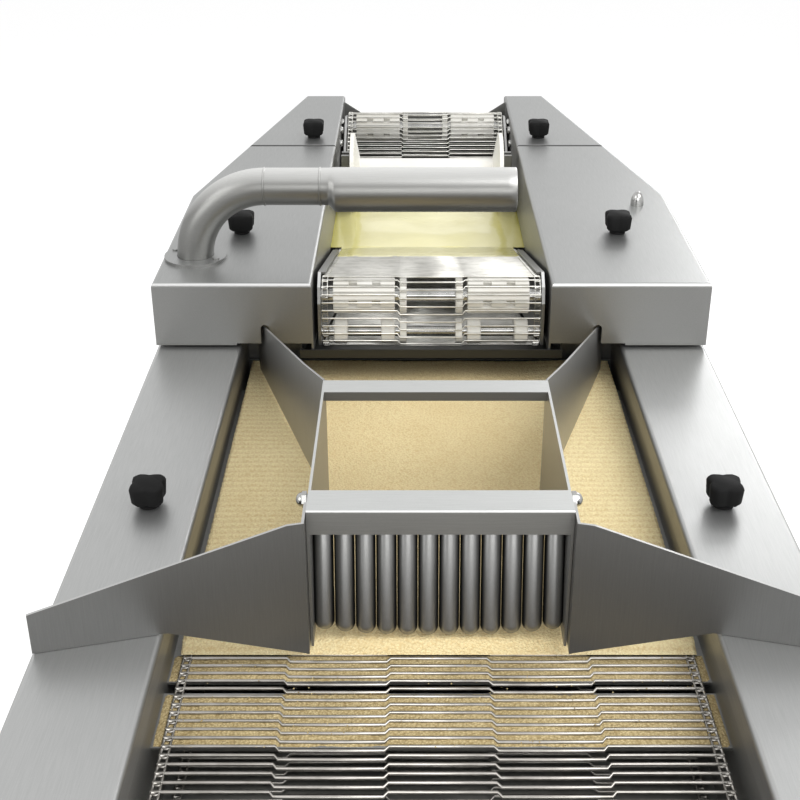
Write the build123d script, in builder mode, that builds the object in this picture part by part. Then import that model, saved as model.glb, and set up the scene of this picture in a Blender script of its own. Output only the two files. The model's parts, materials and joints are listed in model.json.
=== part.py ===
import math
import os
from build123d import *

os.makedirs("parts", exist_ok=True)

# Overall sizes, in millimetres. X is across, +Y runs from the outfeed to the infeed, Z is up.
machine_length = 1450.0
machine_width = 560.0
cover_top = 1000.0
batter_length = 753.0
sheet = 2.0
seat_gap = 0.3
running_gap = 0.05

rear_y = machine_length / 2
front_y = -machine_length / 2
face_y = rear_y - batter_length

# Batter unit covers
lane_gap = 240.0
cover_depth = 65.0
bend_radius = 4.0
taper_start = 280.0
rear_half_width = 178.0
cover_seam = 487.0
seam_gap = 0.6
skirt_drop = 14.0
deck_top = cover_top - cover_depth
skirt_bottom = deck_top - skirt_drop
half_width = machine_width / 2
taper_slope = (half_width - rear_half_width) / (batter_length - taper_start)

# Slots in the front covers for the guides
slot_x = 168.5
slot_width = 9.0
slot_height = 20.4

# Clamping knobs and their studs
knob_size = 27.0
knob_grip = 13.0
knob_neck = 9.0
knob_neck_radius = 8.0
stud_radius = 4.0
stud_length = 30.0
stud_hole = 4.6
post_size = 20.0
front_knob = (206.0, 150.0)
rear_knob = (152.0, 527.0)

# Wire belts
wire = 2.0
wire_pitch = 8.47
wire_gap = 0.3
crank = 4.2
strand = 1.2

# Batter belt path, each centre as distance behind the face and depth below the cover tops
nose_at = (28.5, 24.0)
nose_path = 19.4
return_at = (23.1, 61.0)
return_path = 14.0
infeed_at = (664.0, 24.0)
infeed_path = 20.0
bend_at = (426.0, 165.0)
bend_path = 25.0
hold_at = (426.0, 76.0)
hold_path = 38.0
batter_lane = 33.0
batter_belt_half = 111.0
batter_roller_half = 99.5

# Side plates of the batter belt
plate_inner = 112.5
plate_sheet = 3.0
rail_inner = 101.0
rail_lift = 1.5
rail_start = 36.0
rail_end = 288.0
lug_depth = 92.0

# Shafts
shaft_radius = 7.0
drum_axle_radius = 5.0

# Hold-down drum
drum_at = (478.0, 32.5)
drum_core = 17.0
drum_flange = 50.0
drum_inner = 88.0
drum_rim = 95.0
drum_outer = 100.0
post_top_depth = 8.5

# Batter tank
tank_half = 134.0
lip_depth = 72.5
tank_clear = 9.0
tank_rear = 715.0
pool_depth = 84.0
pool_thick = 2.0
pool_start = 332.0
pool_end = 466.0
sump_radius = 17.0

# Curtain pipe
pipe_at = (-245.6, 74.7)
pipe_radius = 18.9
pipe_wall = 1.6
pipe_rise = 76.7
elbow_radius = 76.0
spreader_radius = 24.0
spreader_left = -113.0
spreader_right = 88.0
curtain_slot = 5.0
collar_radius = 32.5
collar_thick = 3.0

# Crumb unit
crumb_cover_depth = 70.0
crumb_surface_depth = 111.0
crumb_belt_depth = 118.0
crumb_inner = 193.5
crumb_wall = 196.0
crumb_outer = 270.0
crumb_rear = 70.0
channel_rear = 36.0
crumb_cover_rear = 30.0
crumb_skirt = 20.0
crumb_outer_skirt = 55.0
crumb_belt_half = 188.6
crumb_lane = 36.8
crumb_lane_step = 73.6
crumb_path = 30.0
crumb_roller_width = 30.0
crumb_shaft_radius = 10.0
crumb_knob = (233.0, -303.0)
bed_gap_start = -475.0
bed_gap = 12.0
bed_strip_end = -543.0
crumb_layer_front = -447.0
crumb_layer_rear = 58.0

# Bridge frame, guides and wings
bridge_half = 94.0
bridge_rise = 7.0
bridge_front = -435.0
bridge_front_depth = 28.0
bridge_lip = 19.5
bridge_rear = -230.0
bridge_rear_depth = 22.0
bridge_rear_lip = 8.0
bridge_clear = 1.0
guide_end = (180.0, 35.0)
wing_inner_y = -447.0
wing_slope = 0.255
wing_tip_depth = 38.0

# Fingers
finger_count = 12
finger_pitch = 15.4
finger_radius = 6.5
finger_shaft_radius = 4.0
finger_pivot = (-399.0, 5.6)
finger_tip = (-421.0, 108.0)

# Stand
tube = 40.0
tube_wall = 2.0
stand_top = 700.0
stand_half = 200.0
leg_front = -560.0
leg_rear = 600.0
foot_height = 60.0
foot_radius = 30.0
low_rail = 220.0

# Derived heights
crumb_cover_top = cover_top - crumb_cover_depth
crumb_surface = cover_top - crumb_surface_depth
crumb_belt_z = cover_top - crumb_belt_depth
bridge_top = cover_top + bridge_rise
pipe_axis_z = cover_top + pipe_rise


def behind(distance):
    """Y of a point a distance behind the front face of the batter unit."""
    return face_y + distance


def below(depth):
    """Z of a point a depth below the tops of the batter covers."""
    return cover_top - depth


def outer_half(distance):
    """Outer half width of the batter unit a distance behind its front face."""
    return half_width - max(0.0, distance - taper_start) * taper_slope


def block(x0, x1, y0, y1, z0, z1, mode=Mode.ADD):
    """A box between two corners, added to the part being built."""
    with Locations(((x0 + x1) / 2, (y0 + y1) / 2, (z0 + z1) / 2)):
        Box(abs(x1 - x0), abs(y1 - y0), abs(z1 - z0), mode=mode)


def rod(x0, x1, y, z, radius, mode=Mode.ADD):
    """A round bar along X, added to the part being built."""
    with Locations(Location(((x0 + x1) / 2, y, z), (0, 90, 0))):
        Cylinder(radius, abs(x1 - x0), mode=mode)


def keep(part, name):
    """Label a finished piece and write it."""
    part.label = name
    export_step(part, "parts/" + name + ".step")


# Path of a belt round its rollers

def belt_stations(wheels, pitch):
    """Evenly spaced (y, z, angle) along a closed belt. Each wheel is (y, z, radius, side)."""
    count = len(wheels)
    angles = []
    for i in range(count):
        y1, z1, r1, s1 = wheels[i]
        y2, z2, r2, s2 = wheels[(i + 1) % count]
        span = math.hypot(y2 - y1, z2 - z1)
        angles.append(math.atan2(z2 - z1, y2 - y1) - math.asin((s2 * r2 - s1 * r1) / span))
    pieces = []
    for i in range(count):
        y1, z1, r1, s1 = wheels[i]
        y2, z2, r2, s2 = wheels[(i + 1) % count]
        into, out = angles[i - 1], angles[i]
        turn = s1 * ((s1 * (out - into)) % (2 * math.pi))
        pieces.append(("arc", r1 * abs(turn), (y1, z1, r1, s1, into)))
        a = (y1 + s1 * r1 * math.sin(out), z1 - s1 * r1 * math.cos(out))
        b = (y2 + s2 * r2 * math.sin(out), z2 - s2 * r2 * math.cos(out))
        pieces.append(("line", math.dist(a, b), (a[0], a[1], out)))
    total = sum(length for kind, length, data in pieces)
    steps = round(total / pitch)
    stations = []
    for step in range(steps):
        along = step * total / steps
        for kind, length, data in pieces:
            if along <= length:
                break
            along -= length
        if kind == "line":
            y, z, angle = data
            stations.append((y + along * math.cos(angle), z + along * math.sin(angle), angle))
        else:
            y, z, radius, side, into = data
            angle = into + side * along / radius
            stations.append((y + side * radius * math.sin(angle), z - side * radius * math.cos(angle), angle))
    return stations


def wire_plane(station):
    """Plane of one belt wire: X across the belt, Y along it, Z out of it."""
    y, z, angle = station
    along = Vector(0, math.cos(angle), math.sin(angle))
    return Plane(origin=(0, y, z), x_dir=(1, 0, 0), z_dir=Vector(1, 0, 0).cross(along))


def wire_outline(half, lanes):
    """Outline of a wire that steps to and fro where its lanes meet."""
    ends = [-half] + lanes + [half]
    line = []
    for i in range(len(ends) - 1):
        offset = crank / 2 if i % 2 == 0 else -crank / 2
        inset_a = crank / 2 if i > 0 else 0
        inset_b = crank / 2 if i < len(ends) - 2 else 0
        line.append((ends[i] + inset_a, offset))
        line.append((ends[i + 1] - inset_b, offset))
    upper = [(x, y + wire / 2) for x, y in line]
    lower = [(x, y - wire / 2) for x, y in reversed(line)]
    return upper + lower


# Batter unit covers

def make_cover(side, start, end, knob):
    """One folded lid of the batter unit, open below, with its inner skirt."""
    corners = [(lane_gap / 2, start), (outer_half(start), start)]
    if start < taper_start < end:
        corners.append((half_width, taper_start))
    corners += [(outer_half(end), end), (lane_gap / 2, end)]
    with BuildPart() as cover:
        with BuildSketch(Plane.XY.offset(deck_top)):
            Polygon(*[(side * x, behind(y)) for x, y in corners], align=None)
        extrude(amount=cover_depth)
        offset(amount=-sheet, openings=cover.faces().sort_by(Axis.Z)[0], kind=Kind.INTERSECTION)
        fillet(cover.faces().sort_by(Axis.Z)[-1].edges(), bend_radius)
        inner = lane_gap / 2
        block(side * inner, side * (inner + sheet), behind(max(start, sheet + 1)), behind(min(end, tank_rear - 1)),
              skirt_bottom, deck_top)
        with Locations((side * knob[0], behind(knob[1]), cover_top - sheet / 2)):
            Cylinder(stud_hole, 2 * sheet, mode=Mode.SUBTRACT)
    return cover


front_covers = {}
rear_covers = {}
for side, word in ((-1, "left"), (1, "right")):
    front_cover = make_cover(side, 0, cover_seam - seam_gap, front_knob)
    with BuildPart() as slotted_cover:
        add(front_cover.part)
        with BuildSketch(Plane.XZ.offset(-face_y)):
            with Locations((side * slot_x, deck_top)):
                SlotOverall(2 * slot_height, slot_width, rotation=90)
        extrude(amount=2 * sheet, both=True, mode=Mode.SUBTRACT)
        if side < 0:
            with Locations((pipe_at[0], behind(pipe_at[1]), cover_top)):
                Cylinder(pipe_radius + seat_gap, 4 * sheet, mode=Mode.SUBTRACT)
    keep(slotted_cover.part, "front_cover_" + word)
    rear_cover = make_cover(side, cover_seam, batter_length, rear_knob)
    with BuildPart() as notched_cover:
        add(rear_cover.part)
        if side > 0:
            notch_top = below(infeed_at[1]) + shaft_radius + 1
            block(lane_gap / 2 - 1, lane_gap / 2 + sheet + 1, behind(infeed_at[0]) - shaft_radius - 1,
                  behind(infeed_at[0]) + shaft_radius + 1, skirt_bottom - 1, notch_top, Mode.SUBTRACT)
    keep(notched_cover.part, "rear_cover_" + word)


# Clamping knobs

def make_knob(x, y, top):
    """A four-lobed knob on its threaded stud."""
    with BuildPart() as knob:
        with BuildSketch(Plane.XY.offset(top + seat_gap)):
            with Locations((x, y)):
                Circle(knob_neck_radius)
        extrude(amount=knob_neck)
        with BuildSketch(Plane.XY.offset(top + seat_gap + knob_neck)):
            with Locations((x, y)):
                RectangleRounded(knob_size, knob_size, knob_size / 5)
                with PolarLocations(knob_size * 0.62, 4):
                    Circle(knob_size / 6, mode=Mode.SUBTRACT)
        extrude(amount=knob_grip)
        with BuildSketch(Plane.XY.offset(top + seat_gap)):
            with Locations((x, y)):
                Circle(stud_radius)
        extrude(amount=-stud_length)
    return knob


for side, word in ((-1, "left"), (1, "right")):
    places = (("front_knob_", front_knob, cover_top), ("rear_knob_", rear_knob, cover_top),
              ("crumb_knob_", crumb_knob, crumb_cover_top))
    for name, place, top in places:
        knob = make_knob(side * place[0], behind(place[1]), top)
        keep(knob.part, name + word)

# Casing and deck of the batter unit
casing_inset = 8.0
casing_front = channel_rear + 4.0
casing_step = crumb_rear + 4.0
tray_slope = (bend_at[1] + bend_path - return_at[1] - return_path) / (bend_at[0] - return_at[0])


def tank_floor(distance):
    """Depth of the inside of the tank floor in front of its lowest line."""
    start = return_at[1] + return_path + wire + tank_clear
    return start + tray_slope * (distance - return_at[0])


with BuildPart() as batter_body:
    wall = crumb_wall + 2 * sheet + 4
    plan = [(wall, casing_step), (wall, casing_front), (half_width - casing_inset, casing_front),
            (half_width - casing_inset, taper_start),
            (outer_half(batter_length) - casing_inset, batter_length - casing_inset)]
    with BuildSketch(Plane.XY.offset(stand_top)):
        Polygon(*[(x, behind(y)) for x, y in plan] + [(-x, behind(y)) for x, y in reversed(plan)], align=None)
    extrude(amount=deck_top - sheet - stand_top)
    offset(amount=-sheet, openings=batter_body.faces().sort_by(Axis.Z)[-1], kind=Kind.INTERSECTION)
    block(-tank_half - 1, tank_half + 1, behind(casing_step) - 1, behind(casing_step) + sheet + 1,
          below(tank_floor(casing_step) + sheet + 1), deck_top + 1, Mode.SUBTRACT)
    deck = [(half_width, 0), (half_width, taper_start), (outer_half(batter_length), batter_length)]
    with BuildSketch(Plane.XY.offset(deck_top - sheet)):
        Polygon(*[(x, behind(y)) for x, y in deck] + [(-x, behind(y)) for x, y in reversed(deck)], align=None)
        with Locations((0, behind((tank_rear + sheet) / 2))):
            Rectangle(2 * (tank_half + seat_gap), tank_rear + sheet + 2 * seat_gap, mode=Mode.SUBTRACT)
        with Locations((0, behind(crumb_layer_rear / 2))):
            Rectangle(2 * (crumb_wall + sheet), crumb_layer_rear + 2, mode=Mode.SUBTRACT)
    extrude(amount=sheet)
    for side in (-1, 1):
        for x, y in (front_knob, rear_knob):
            block(side * x - post_size / 2, side * x + post_size / 2, behind(y) - post_size / 2,
                  behind(y) + post_size / 2, deck_top, cover_top - sheet - seat_gap)
            with Locations((side * x, behind(y), (deck_top + cover_top) / 2)):
                Cylinder(stud_radius + running_gap, cover_depth, mode=Mode.SUBTRACT)
    # Holes for the curtain pipe and the suction pipe
    with Locations((pipe_at[0], behind(pipe_at[1]), deck_top), (pipe_at[0], behind(pipe_at[1]), stand_top)):
        Cylinder(pipe_radius + seat_gap, 6 * sheet, mode=Mode.SUBTRACT)
    with Locations((0, behind(bend_at[0]), stand_top)):
        Cylinder(sump_radius + seat_gap, 6 * sheet, mode=Mode.SUBTRACT)
keep(batter_body.part, "batter_body")

# Batter tank: floor falls from the front lip to the sump and rises to the infeed
sump = (bend_at[0], tank_floor(bend_at[0]))
tank_back = (infeed_at[0] + infeed_path, cover_depth + skirt_drop + 6)
with BuildPart() as batter_tank:
    floor = [(sheet, tank_floor(0)), sump, tank_back, (tank_rear, tank_back[1])]
    outside = [(0, cover_depth), (0, floor[0][1] + sheet), (sump[0], sump[1] + sheet),
               (tank_back[0], tank_back[1] + sheet), (tank_rear + sheet, tank_back[1] + sheet),
               (tank_rear + sheet, cover_depth)]
    with BuildSketch(Plane.YZ.offset(-tank_half)):
        Polygon(*[(behind(y), below(d)) for y, d in outside], align=None)
    extrude(amount=2 * tank_half)
    inside = [(sheet, 0)] + floor + [(tank_rear, 0)]
    with BuildSketch(Plane.YZ.offset(-tank_half + sheet)):
        Polygon(*[(behind(y), below(d)) for y, d in inside], align=None)
    extrude(amount=2 * (tank_half - sheet), mode=Mode.SUBTRACT)
    # Front lip, lower than the sides
    block(-tank_half - 1, tank_half + 1, behind(-1), behind(sheet), below(lip_depth), cover_top, Mode.SUBTRACT)
    # Flanges that hang the tank in the deck, with a break where the covers meet
    for side in (-1, 1):
        for start, end in ((crumb_layer_rear + 4, cover_seam - 8), (cover_seam + 8, tank_rear)):
            block(side * (tank_half - sheet), side * (tank_half + 6), behind(start), behind(end), deck_top,
                  deck_top + sheet)
    # Sump spigot
    with BuildSketch(Plane.XY.offset(below(sump[1] + sheet / 2))):
        with Locations((0, behind(sump[0]))):
            Circle(sump_radius)
    extrude(amount=-30)
    with Locations((0, behind(sump[0]), below(sump[1] + 20))):
        Cylinder(sump_radius - sheet, 60, mode=Mode.SUBTRACT)
keep(batter_tank.part, "batter_tank")

# Wall across the infeed end, cut out for the feeding belt
end_notch = 18.0
end_notch_half = 92.0
with BuildPart() as infeed_end_plate:
    edge = lane_gap / 2 - seat_gap
    with BuildSketch(Plane.XZ.offset(-behind(tank_rear + sheet))):
        Polygon((-edge, deck_top), (edge, deck_top), (edge, cover_top), (end_notch_half, cover_top - end_notch),
                (-end_notch_half, cover_top - end_notch), (-edge, cover_top), align=None)
    extrude(amount=sheet)
keep(infeed_end_plate.part, "infeed_end_plate")

# Wire belt of the batter unit
batter_wheels = [
    (behind(nose_at[0]), below(nose_at[1]), nose_path, 1),
    (behind(return_at[0]), below(return_at[1]), return_path, 1),
    (behind(bend_at[0]), below(bend_at[1]), bend_path, 1),
    (behind(infeed_at[0]), below(infeed_at[1]), infeed_path, 1),
    (behind(hold_at[0]), below(hold_at[1]), hold_path, -1),
]


def edge_strand(stations):
    """The strand along one edge of a belt that holds the ends of its wires."""
    count = len(stations)
    bends = [i for i in range(count)
             if abs(stations[i][2] - stations[i - 1][2]) > 1e-6 or abs(stations[i][2] - stations[(i + 1) % count][2]) > 1e-6]
    rings = []
    for lift in (wire / 2, -wire / 2):
        rings.append([(stations[i][0] + lift * math.sin(stations[i][2]), stations[i][1] - lift * math.cos(stations[i][2]))
                      for i in bends])
    with BuildPart() as edge:
        with BuildSketch(Plane.YZ):
            Polygon(*rings[0], align=None)
            Polygon(*rings[1], align=None, mode=Mode.SUBTRACT)
        extrude(amount=strand)
    return edge


def make_belt(wheels, half, lanes, shows):
    """All wires of one belt. The wires that show step at their lanes, the others are straight."""
    with BuildPart() as stepped:
        with BuildSketch():
            Polygon(*wire_outline(half, lanes), align=None)
        extrude(amount=wire / 2, both=True)
    with BuildPart() as straight:
        Box(2 * half, wire, wire)
    places = [(wire_plane(station).location, shows(station)) for station in belt_stations(wheels, wire_pitch)]
    wires = [(stepped if shown else straight).part.moved(place) for place, shown in places]
    edges = edge_strand(belt_stations(wheels, wire_pitch))
    with BuildPart() as belt:
        add(wires)
        add([edges.part.moved(Location((x, 0, 0))) for x in (-half - strand, half)])
    return belt


def batter_wire_shows(station):
    """True where a wire is in the open: over the two upper slopes and round the exit nose."""
    y, z, angle = station
    upper = math.cos(angle) < 0 or y < behind(return_at[0])
    return upper and (y < behind(pool_start) or y > behind(drum_at[0]))


batter_belt = make_belt(batter_wheels, batter_belt_half, [-batter_lane, batter_lane], batter_wire_shows)
keep(batter_belt.part, "batter_belt")

# Wire belt of the crumb unit
crumb_tail_y = behind(channel_rear) - 2 * crumb_shaft_radius
crumb_nose_y = front_y + 8 + crumb_path + wire / 2
crumb_roll_z = crumb_belt_z - crumb_path
crumb_wheels = [(crumb_nose_y, crumb_roll_z, crumb_path, 1), (crumb_tail_y, crumb_roll_z, crumb_path, 1)]


def crumb_wire_shows(station):
    """True where a wire is clear of the crumbs, past the fingers and round the outfeed nose."""
    y, z, angle = station
    return y < behind(finger_tip[0]) and z > crumb_roll_z


crumb_lanes = [-crumb_lane - crumb_lane_step, -crumb_lane, crumb_lane, crumb_lane + crumb_lane_step]
crumb_belt = make_belt(crumb_wheels, crumb_belt_half, crumb_lanes, crumb_wire_shows)
keep(crumb_belt.part, "crumb_belt")

# Rollers of the batter belt
sprocket_teeth = 14
groove_depth = 2.2


def tooth_outline(radius, teeth):
    """Outline of a grooved roller, one rib between each two wires."""
    points = []
    for tooth in range(teeth):
        for share, r in ((0.12, radius), (0.62, radius), (0.70, radius - groove_depth), (1.04, radius - groove_depth)):
            angle = 2 * math.pi * (tooth + share) / teeth
            points.append((r * math.cos(angle), r * math.sin(angle)))
    return points


def grooved(x0, x1, y, z, radius, teeth):
    """A grooved roller between two places across the machine, added to the part being built."""
    plane = Plane(origin=(x0, y, z), x_dir=(0, 1, 0), z_dir=(1, 0, 0))
    with BuildSketch(plane) as ribs:
        Polygon(*tooth_outline(radius, teeth), align=None)
    extrude(to_extrude=ribs.sketch, amount=x1 - x0)


def shaft_y(place):
    """Y of a shaft given as distance behind the face and depth."""
    return behind(place[0])


def shaft_z(place):
    """Z of a shaft given as distance behind the face and depth."""
    return below(place[1])


under_wire = wire / 2 + wire_gap
shaft_end = plate_inner + plate_sheet + 1.0
lane_edge = batter_lane + 4.0
narrow = 7.0
with BuildPart() as nose_roller:
    rod(-shaft_end, shaft_end, shaft_y(nose_at), shaft_z(nose_at), shaft_radius)
    for x0, x1 in ((-batter_roller_half, -lane_edge), (lane_edge, batter_roller_half),
                   (-batter_lane + 1, -batter_lane + 1 + narrow), (batter_lane - 1 - narrow, batter_lane - 1)):
        grooved(x0, x1, shaft_y(nose_at), shaft_z(nose_at), nose_path - under_wire, sprocket_teeth)
keep(nose_roller.part, "nose_roller")

wheel_width = 14.0
with BuildPart() as return_roller:
    rod(-shaft_end, shaft_end, shaft_y(return_at), shaft_z(return_at), shaft_radius - 1)
    for side in (-1, 1):
        for x0, width in ((lane_edge, wheel_width), (batter_roller_half - wheel_width, wheel_width),
                          (batter_lane - 1 - narrow, narrow)):
            rod(side * x0, side * (x0 + width), shaft_y(return_at), shaft_z(return_at), return_path - under_wire)
keep(return_roller.part, "return_roller")

with BuildPart() as bend_roller:
    rod(-shaft_end, shaft_end, shaft_y(bend_at), shaft_z(bend_at), shaft_radius)
    rod(-batter_roller_half, batter_roller_half, shaft_y(bend_at), shaft_z(bend_at), bend_path - under_wire)
keep(bend_roller.part, "bend_roller")

# The infeed roller drives the belt, so its shaft runs on into the gearmotor
drive_end = lane_gap / 2 + sheet + 40
with BuildPart() as infeed_roller:
    rod(-shaft_end, drive_end, shaft_y(infeed_at), shaft_z(infeed_at), shaft_radius)
    for x0, x1 in ((-batter_roller_half, -lane_edge), (lane_edge, batter_roller_half),
                   (-batter_lane + 1, batter_lane - 1)):
        grooved(x0, x1, shaft_y(infeed_at), shaft_z(infeed_at), infeed_path - under_wire, sprocket_teeth)
keep(infeed_roller.part, "infeed_roller")

# Side plates that carry the batter belt, with edge strips, hold-down shoes and drum posts
ramp_rise = (72.6 - 6.2) / (269.7 - 30.2)
surface = {}
for y, z, angle in belt_stations(batter_wheels, 1.0):
    if math.cos(angle) < 0:
        surface[round(y - face_y)] = cover_top - z - wire / 2


def surface_depth(distance):
    """Depth of the upper run's top surface at a distance behind the face."""
    return surface[min(surface, key=lambda known: abs(known - distance))]


plate_top = [(rail_start, surface_depth(rail_start) - rail_lift - sheet),
             (rail_end, surface_depth(rail_end) - rail_lift - sheet), (rail_end, surface_depth(rail_end)),
             (pool_start - 3, pool_depth + pool_thick + 1),
             (hold_at[0] - 10, surface_depth(hold_at[0] - 10)), (hold_at[0] + 20, surface_depth(hold_at[0] + 20)),
             (infeed_at[0] - 10, surface_depth(infeed_at[0] - 10)),
             (infeed_at[0] + 14, infeed_at[1] - 14), (infeed_at[0] + 19, infeed_at[1])]
plate_under = [(infeed_at[0] + 10, infeed_at[1] + 18), (bend_at[0] + 15, bend_at[1] + 18),
               (bend_at[0] - 15, bend_at[1] + 18), (return_at[0] + 10, return_at[1] + 14),
               (return_at[0] - 10, return_at[1] + 12), (nose_at[0] - 14, nose_at[1] + 4),
               (nose_at[0] - 8, nose_at[1] - 12)]
with BuildPart() as belt_side_plates:
    for side in (-1, 1):
        plate = Plane.YZ.offset(side * plate_inner if side > 0 else -plate_inner - plate_sheet)
        with BuildSketch(plate):
            Polygon(*[(behind(y), below(d)) for y, d in plate_top + plate_under], align=None)
            for place, radius in ((nose_at, shaft_radius), (return_at, shaft_radius - 1), (bend_at, shaft_radius),
                                  (infeed_at, shaft_radius)):
                with Locations((shaft_y(place), shaft_z(place))):
                    Circle(radius + running_gap, mode=Mode.SUBTRACT)
        extrude(amount=plate_sheet)
        # Edge strip over the belt's loops
        with BuildSketch(Plane.YZ.offset(rail_inner if side > 0 else -plate_inner)):
            Polygon(*[(behind(y), below(surface_depth(y) - rail_lift - lift))
                      for y, lift in ((rail_start, 0), (rail_end, 0), (rail_end, sheet), (rail_start, sheet))],
                    align=None)
        extrude(amount=plate_inner - rail_inner)
        # Shoe that holds the belt down at the bottom of its dip
        shoe = hold_path - wire / 2 - 2 * wire_gap
        with BuildSketch(Plane.YZ.offset(rail_inner + 2 if side > 0 else -plate_inner)):
            with Locations((shaft_y(hold_at), shaft_z(hold_at))):
                Circle(shoe)
            with Locations((shaft_y(hold_at), below(pool_depth + pool_thick + 1) + hold_path)):
                Rectangle(3 * hold_path, 2 * hold_path, mode=Mode.SUBTRACT)
        extrude(amount=plate_inner - rail_inner - 2)
        # Post with the open notch that the drum's axle drops into
        post_half = 10.0
        post_foot = surface_depth(drum_at[0] + post_half) - 1
        with BuildSketch(Plane.YZ.offset(drum_outer + 2.5 if side > 0 else -plate_inner)):
            with Locations((shaft_y(drum_at), below((post_top_depth + post_foot) / 2))):
                Rectangle(2 * post_half, post_foot - post_top_depth)
            with Locations((shaft_y(drum_at), shaft_z(drum_at))):
                Circle(drum_axle_radius + running_gap, mode=Mode.SUBTRACT)
            with Locations((shaft_y(drum_at), shaft_z(drum_at) + 2 * post_half)):
                Rectangle(2 * (drum_axle_radius + running_gap), 4 * post_half, mode=Mode.SUBTRACT)
        extrude(amount=plate_inner - drum_outer - 2.5)
        # Foot of the post on the side plate
        block(side * plate_inner, side * (plate_inner + plate_sheet), shaft_y(drum_at) - post_half,
              shaft_y(drum_at) + post_half, below(surface_depth(drum_at[0] - post_half)), below(drum_at[1] + 15))
        # Lugs that seat the plate on the tank wall
        for distance in (200.0, 540.0):
            block(side * (plate_inner + plate_sheet), side * (tank_half - sheet - seat_gap), behind(distance) - 8,
                  behind(distance) + 8, below(lug_depth + 14), below(lug_depth))
keep(belt_side_plates.part, "belt_side_plates")

# Hold-down drum
with BuildPart() as flanged_drum:
    rod(-plate_inner + 1, plate_inner - 1, shaft_y(drum_at), shaft_z(drum_at), drum_axle_radius)
    with BuildSketch(Plane(origin=(0, shaft_y(drum_at), shaft_z(drum_at)), x_dir=(1, 0, 0), z_dir=(0, -1, 0))) as half:
        Polygon((-drum_outer, 0), (-drum_outer, drum_flange), (-drum_rim, drum_flange), (-drum_inner, drum_core),
                (drum_inner, drum_core), (drum_rim, drum_flange), (drum_outer, drum_flange), (drum_outer, 0),
                align=None)
    revolve(axis=Axis((0, shaft_y(drum_at), shaft_z(drum_at)), (1, 0, 0)))
keep(flanged_drum.part, "flanged_drum")

# Batter in the tank, as a layer at its surface
with BuildPart() as batter_pool:
    block(-tank_half + sheet, tank_half - sheet, behind(pool_start), behind(pool_end), below(pool_depth + pool_thick),
          below(pool_depth))
keep(batter_pool.part, "batter_pool")

# Curtain pipe: riser, elbow and spigot, with the wider spreader tube welded on
pump_outlet_z = 640.0
with BuildPart() as curtain_pipe:
    x, y = pipe_at[0], behind(pipe_at[1])
    with BuildLine() as route:
        FilletPolyline((x, y, pump_outlet_z), (x, y, pipe_axis_z), (spreader_left + 20, y, pipe_axis_z),
                       radius=elbow_radius)
    with BuildSketch(Plane.XY.offset(pump_outlet_z)):
        with Locations((x, y)):
            Circle(pipe_radius)
            Circle(pipe_radius - pipe_wall, mode=Mode.SUBTRACT)
    sweep(path=route.line)
    spreader_z = pipe_axis_z + pipe_radius - spreader_radius + seat_gap
    rod(spreader_left, spreader_right, y, spreader_z, spreader_radius)
    rod(spreader_left + sheet, spreader_right - sheet, y, spreader_z, spreader_radius - pipe_wall, Mode.SUBTRACT)
    rod(spreader_left - 1, spreader_left + sheet + 1, y, pipe_axis_z, pipe_radius - pipe_wall, Mode.SUBTRACT)
    # Slot along the underside, where the batter falls as a curtain
    block(spreader_left + 14, spreader_right - 10, y - curtain_slot / 2, y + curtain_slot / 2,
          spreader_z - spreader_radius - 1, spreader_z - spreader_radius + 4, Mode.SUBTRACT)
keep(curtain_pipe.part, "curtain_pipe")

with BuildPart() as pipe_collar:
    with Locations((x, y, cover_top + collar_thick / 2)):
        Cylinder(collar_radius, collar_thick)
        Cylinder(pipe_radius + seat_gap, 2 * collar_thick, mode=Mode.SUBTRACT)
    with Locations((x, y, cover_top + collar_thick)):
        with PolarLocations(collar_radius - 6, 2, start_angle=-30):
            Cylinder(3.5, 3)
keep(pipe_collar.part, "pipe_collar")

# Pump under the left pod, with its motor, and the pipe from the tank's sump
volute_radius = 58.0
volute_width = 46.0
pump_x = pipe_at[0] + volute_radius - pipe_radius
pump_y = behind(pipe_at[1])
pump_z = 560.0
motor_radius = 50.0
motor_length = 150.0
with BuildPart() as pump:
    with Locations(Location((pump_x, pump_y, pump_z), (90, 0, 0))):
        Cylinder(volute_radius, volute_width)
    with Locations((pipe_at[0], pump_y, (pump_z + pump_outlet_z) / 2)):
        Cylinder(pipe_radius, pump_outlet_z - pump_z)
    with Locations(Location((pump_x, pump_y - volute_width / 2 - motor_length / 2 - 10, pump_z), (90, 0, 0))):
        Cylinder(motor_radius, motor_length)
    with Locations(Location((pump_x, pump_y - volute_width / 2 - 5, pump_z), (90, 0, 0))):
        Cylinder(motor_radius * 0.7, 10)
    # Fan cowl and the saddle that hangs the motor from the rail
    with Locations(Location((pump_x, pump_y - volute_width / 2 - motor_length - 20, pump_z), (90, 0, 0))):
        Cylinder(motor_radius + 2, 24)
    block(pump_x - 25, pump_x + 25, pump_y - volute_width / 2 - 110, pump_y - volute_width / 2 - 40,
          pump_z + motor_radius - 8, stand_top - tube)
    # Suction flange
    with Locations(Location((pump_x, pump_y + volute_width / 2 + 4, pump_z), (90, 0, 0))):
        Cylinder(sump_radius + 8, 8)
keep(pump.part, "pump")

with BuildPart() as suction_pipe:
    start_y = pump_y + volute_width / 2 + 8
    sump_y = behind(sump[0])
    with BuildLine() as run:
        FilletPolyline((pump_x, start_y, pump_z), (pump_x, sump_y, pump_z), (0, sump_y, pump_z),
                       (0, sump_y, below(sump[1] + sheet) - 29), radius=45)
    with BuildSketch(Plane.XZ.offset(-start_y)):
        with Locations((pump_x, pump_z)):
            Circle(sump_radius - 2)
            Circle(sump_radius - 4, mode=Mode.SUBTRACT)
    sweep(path=run.line)
keep(suction_pipe.part, "suction_pipe")

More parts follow.
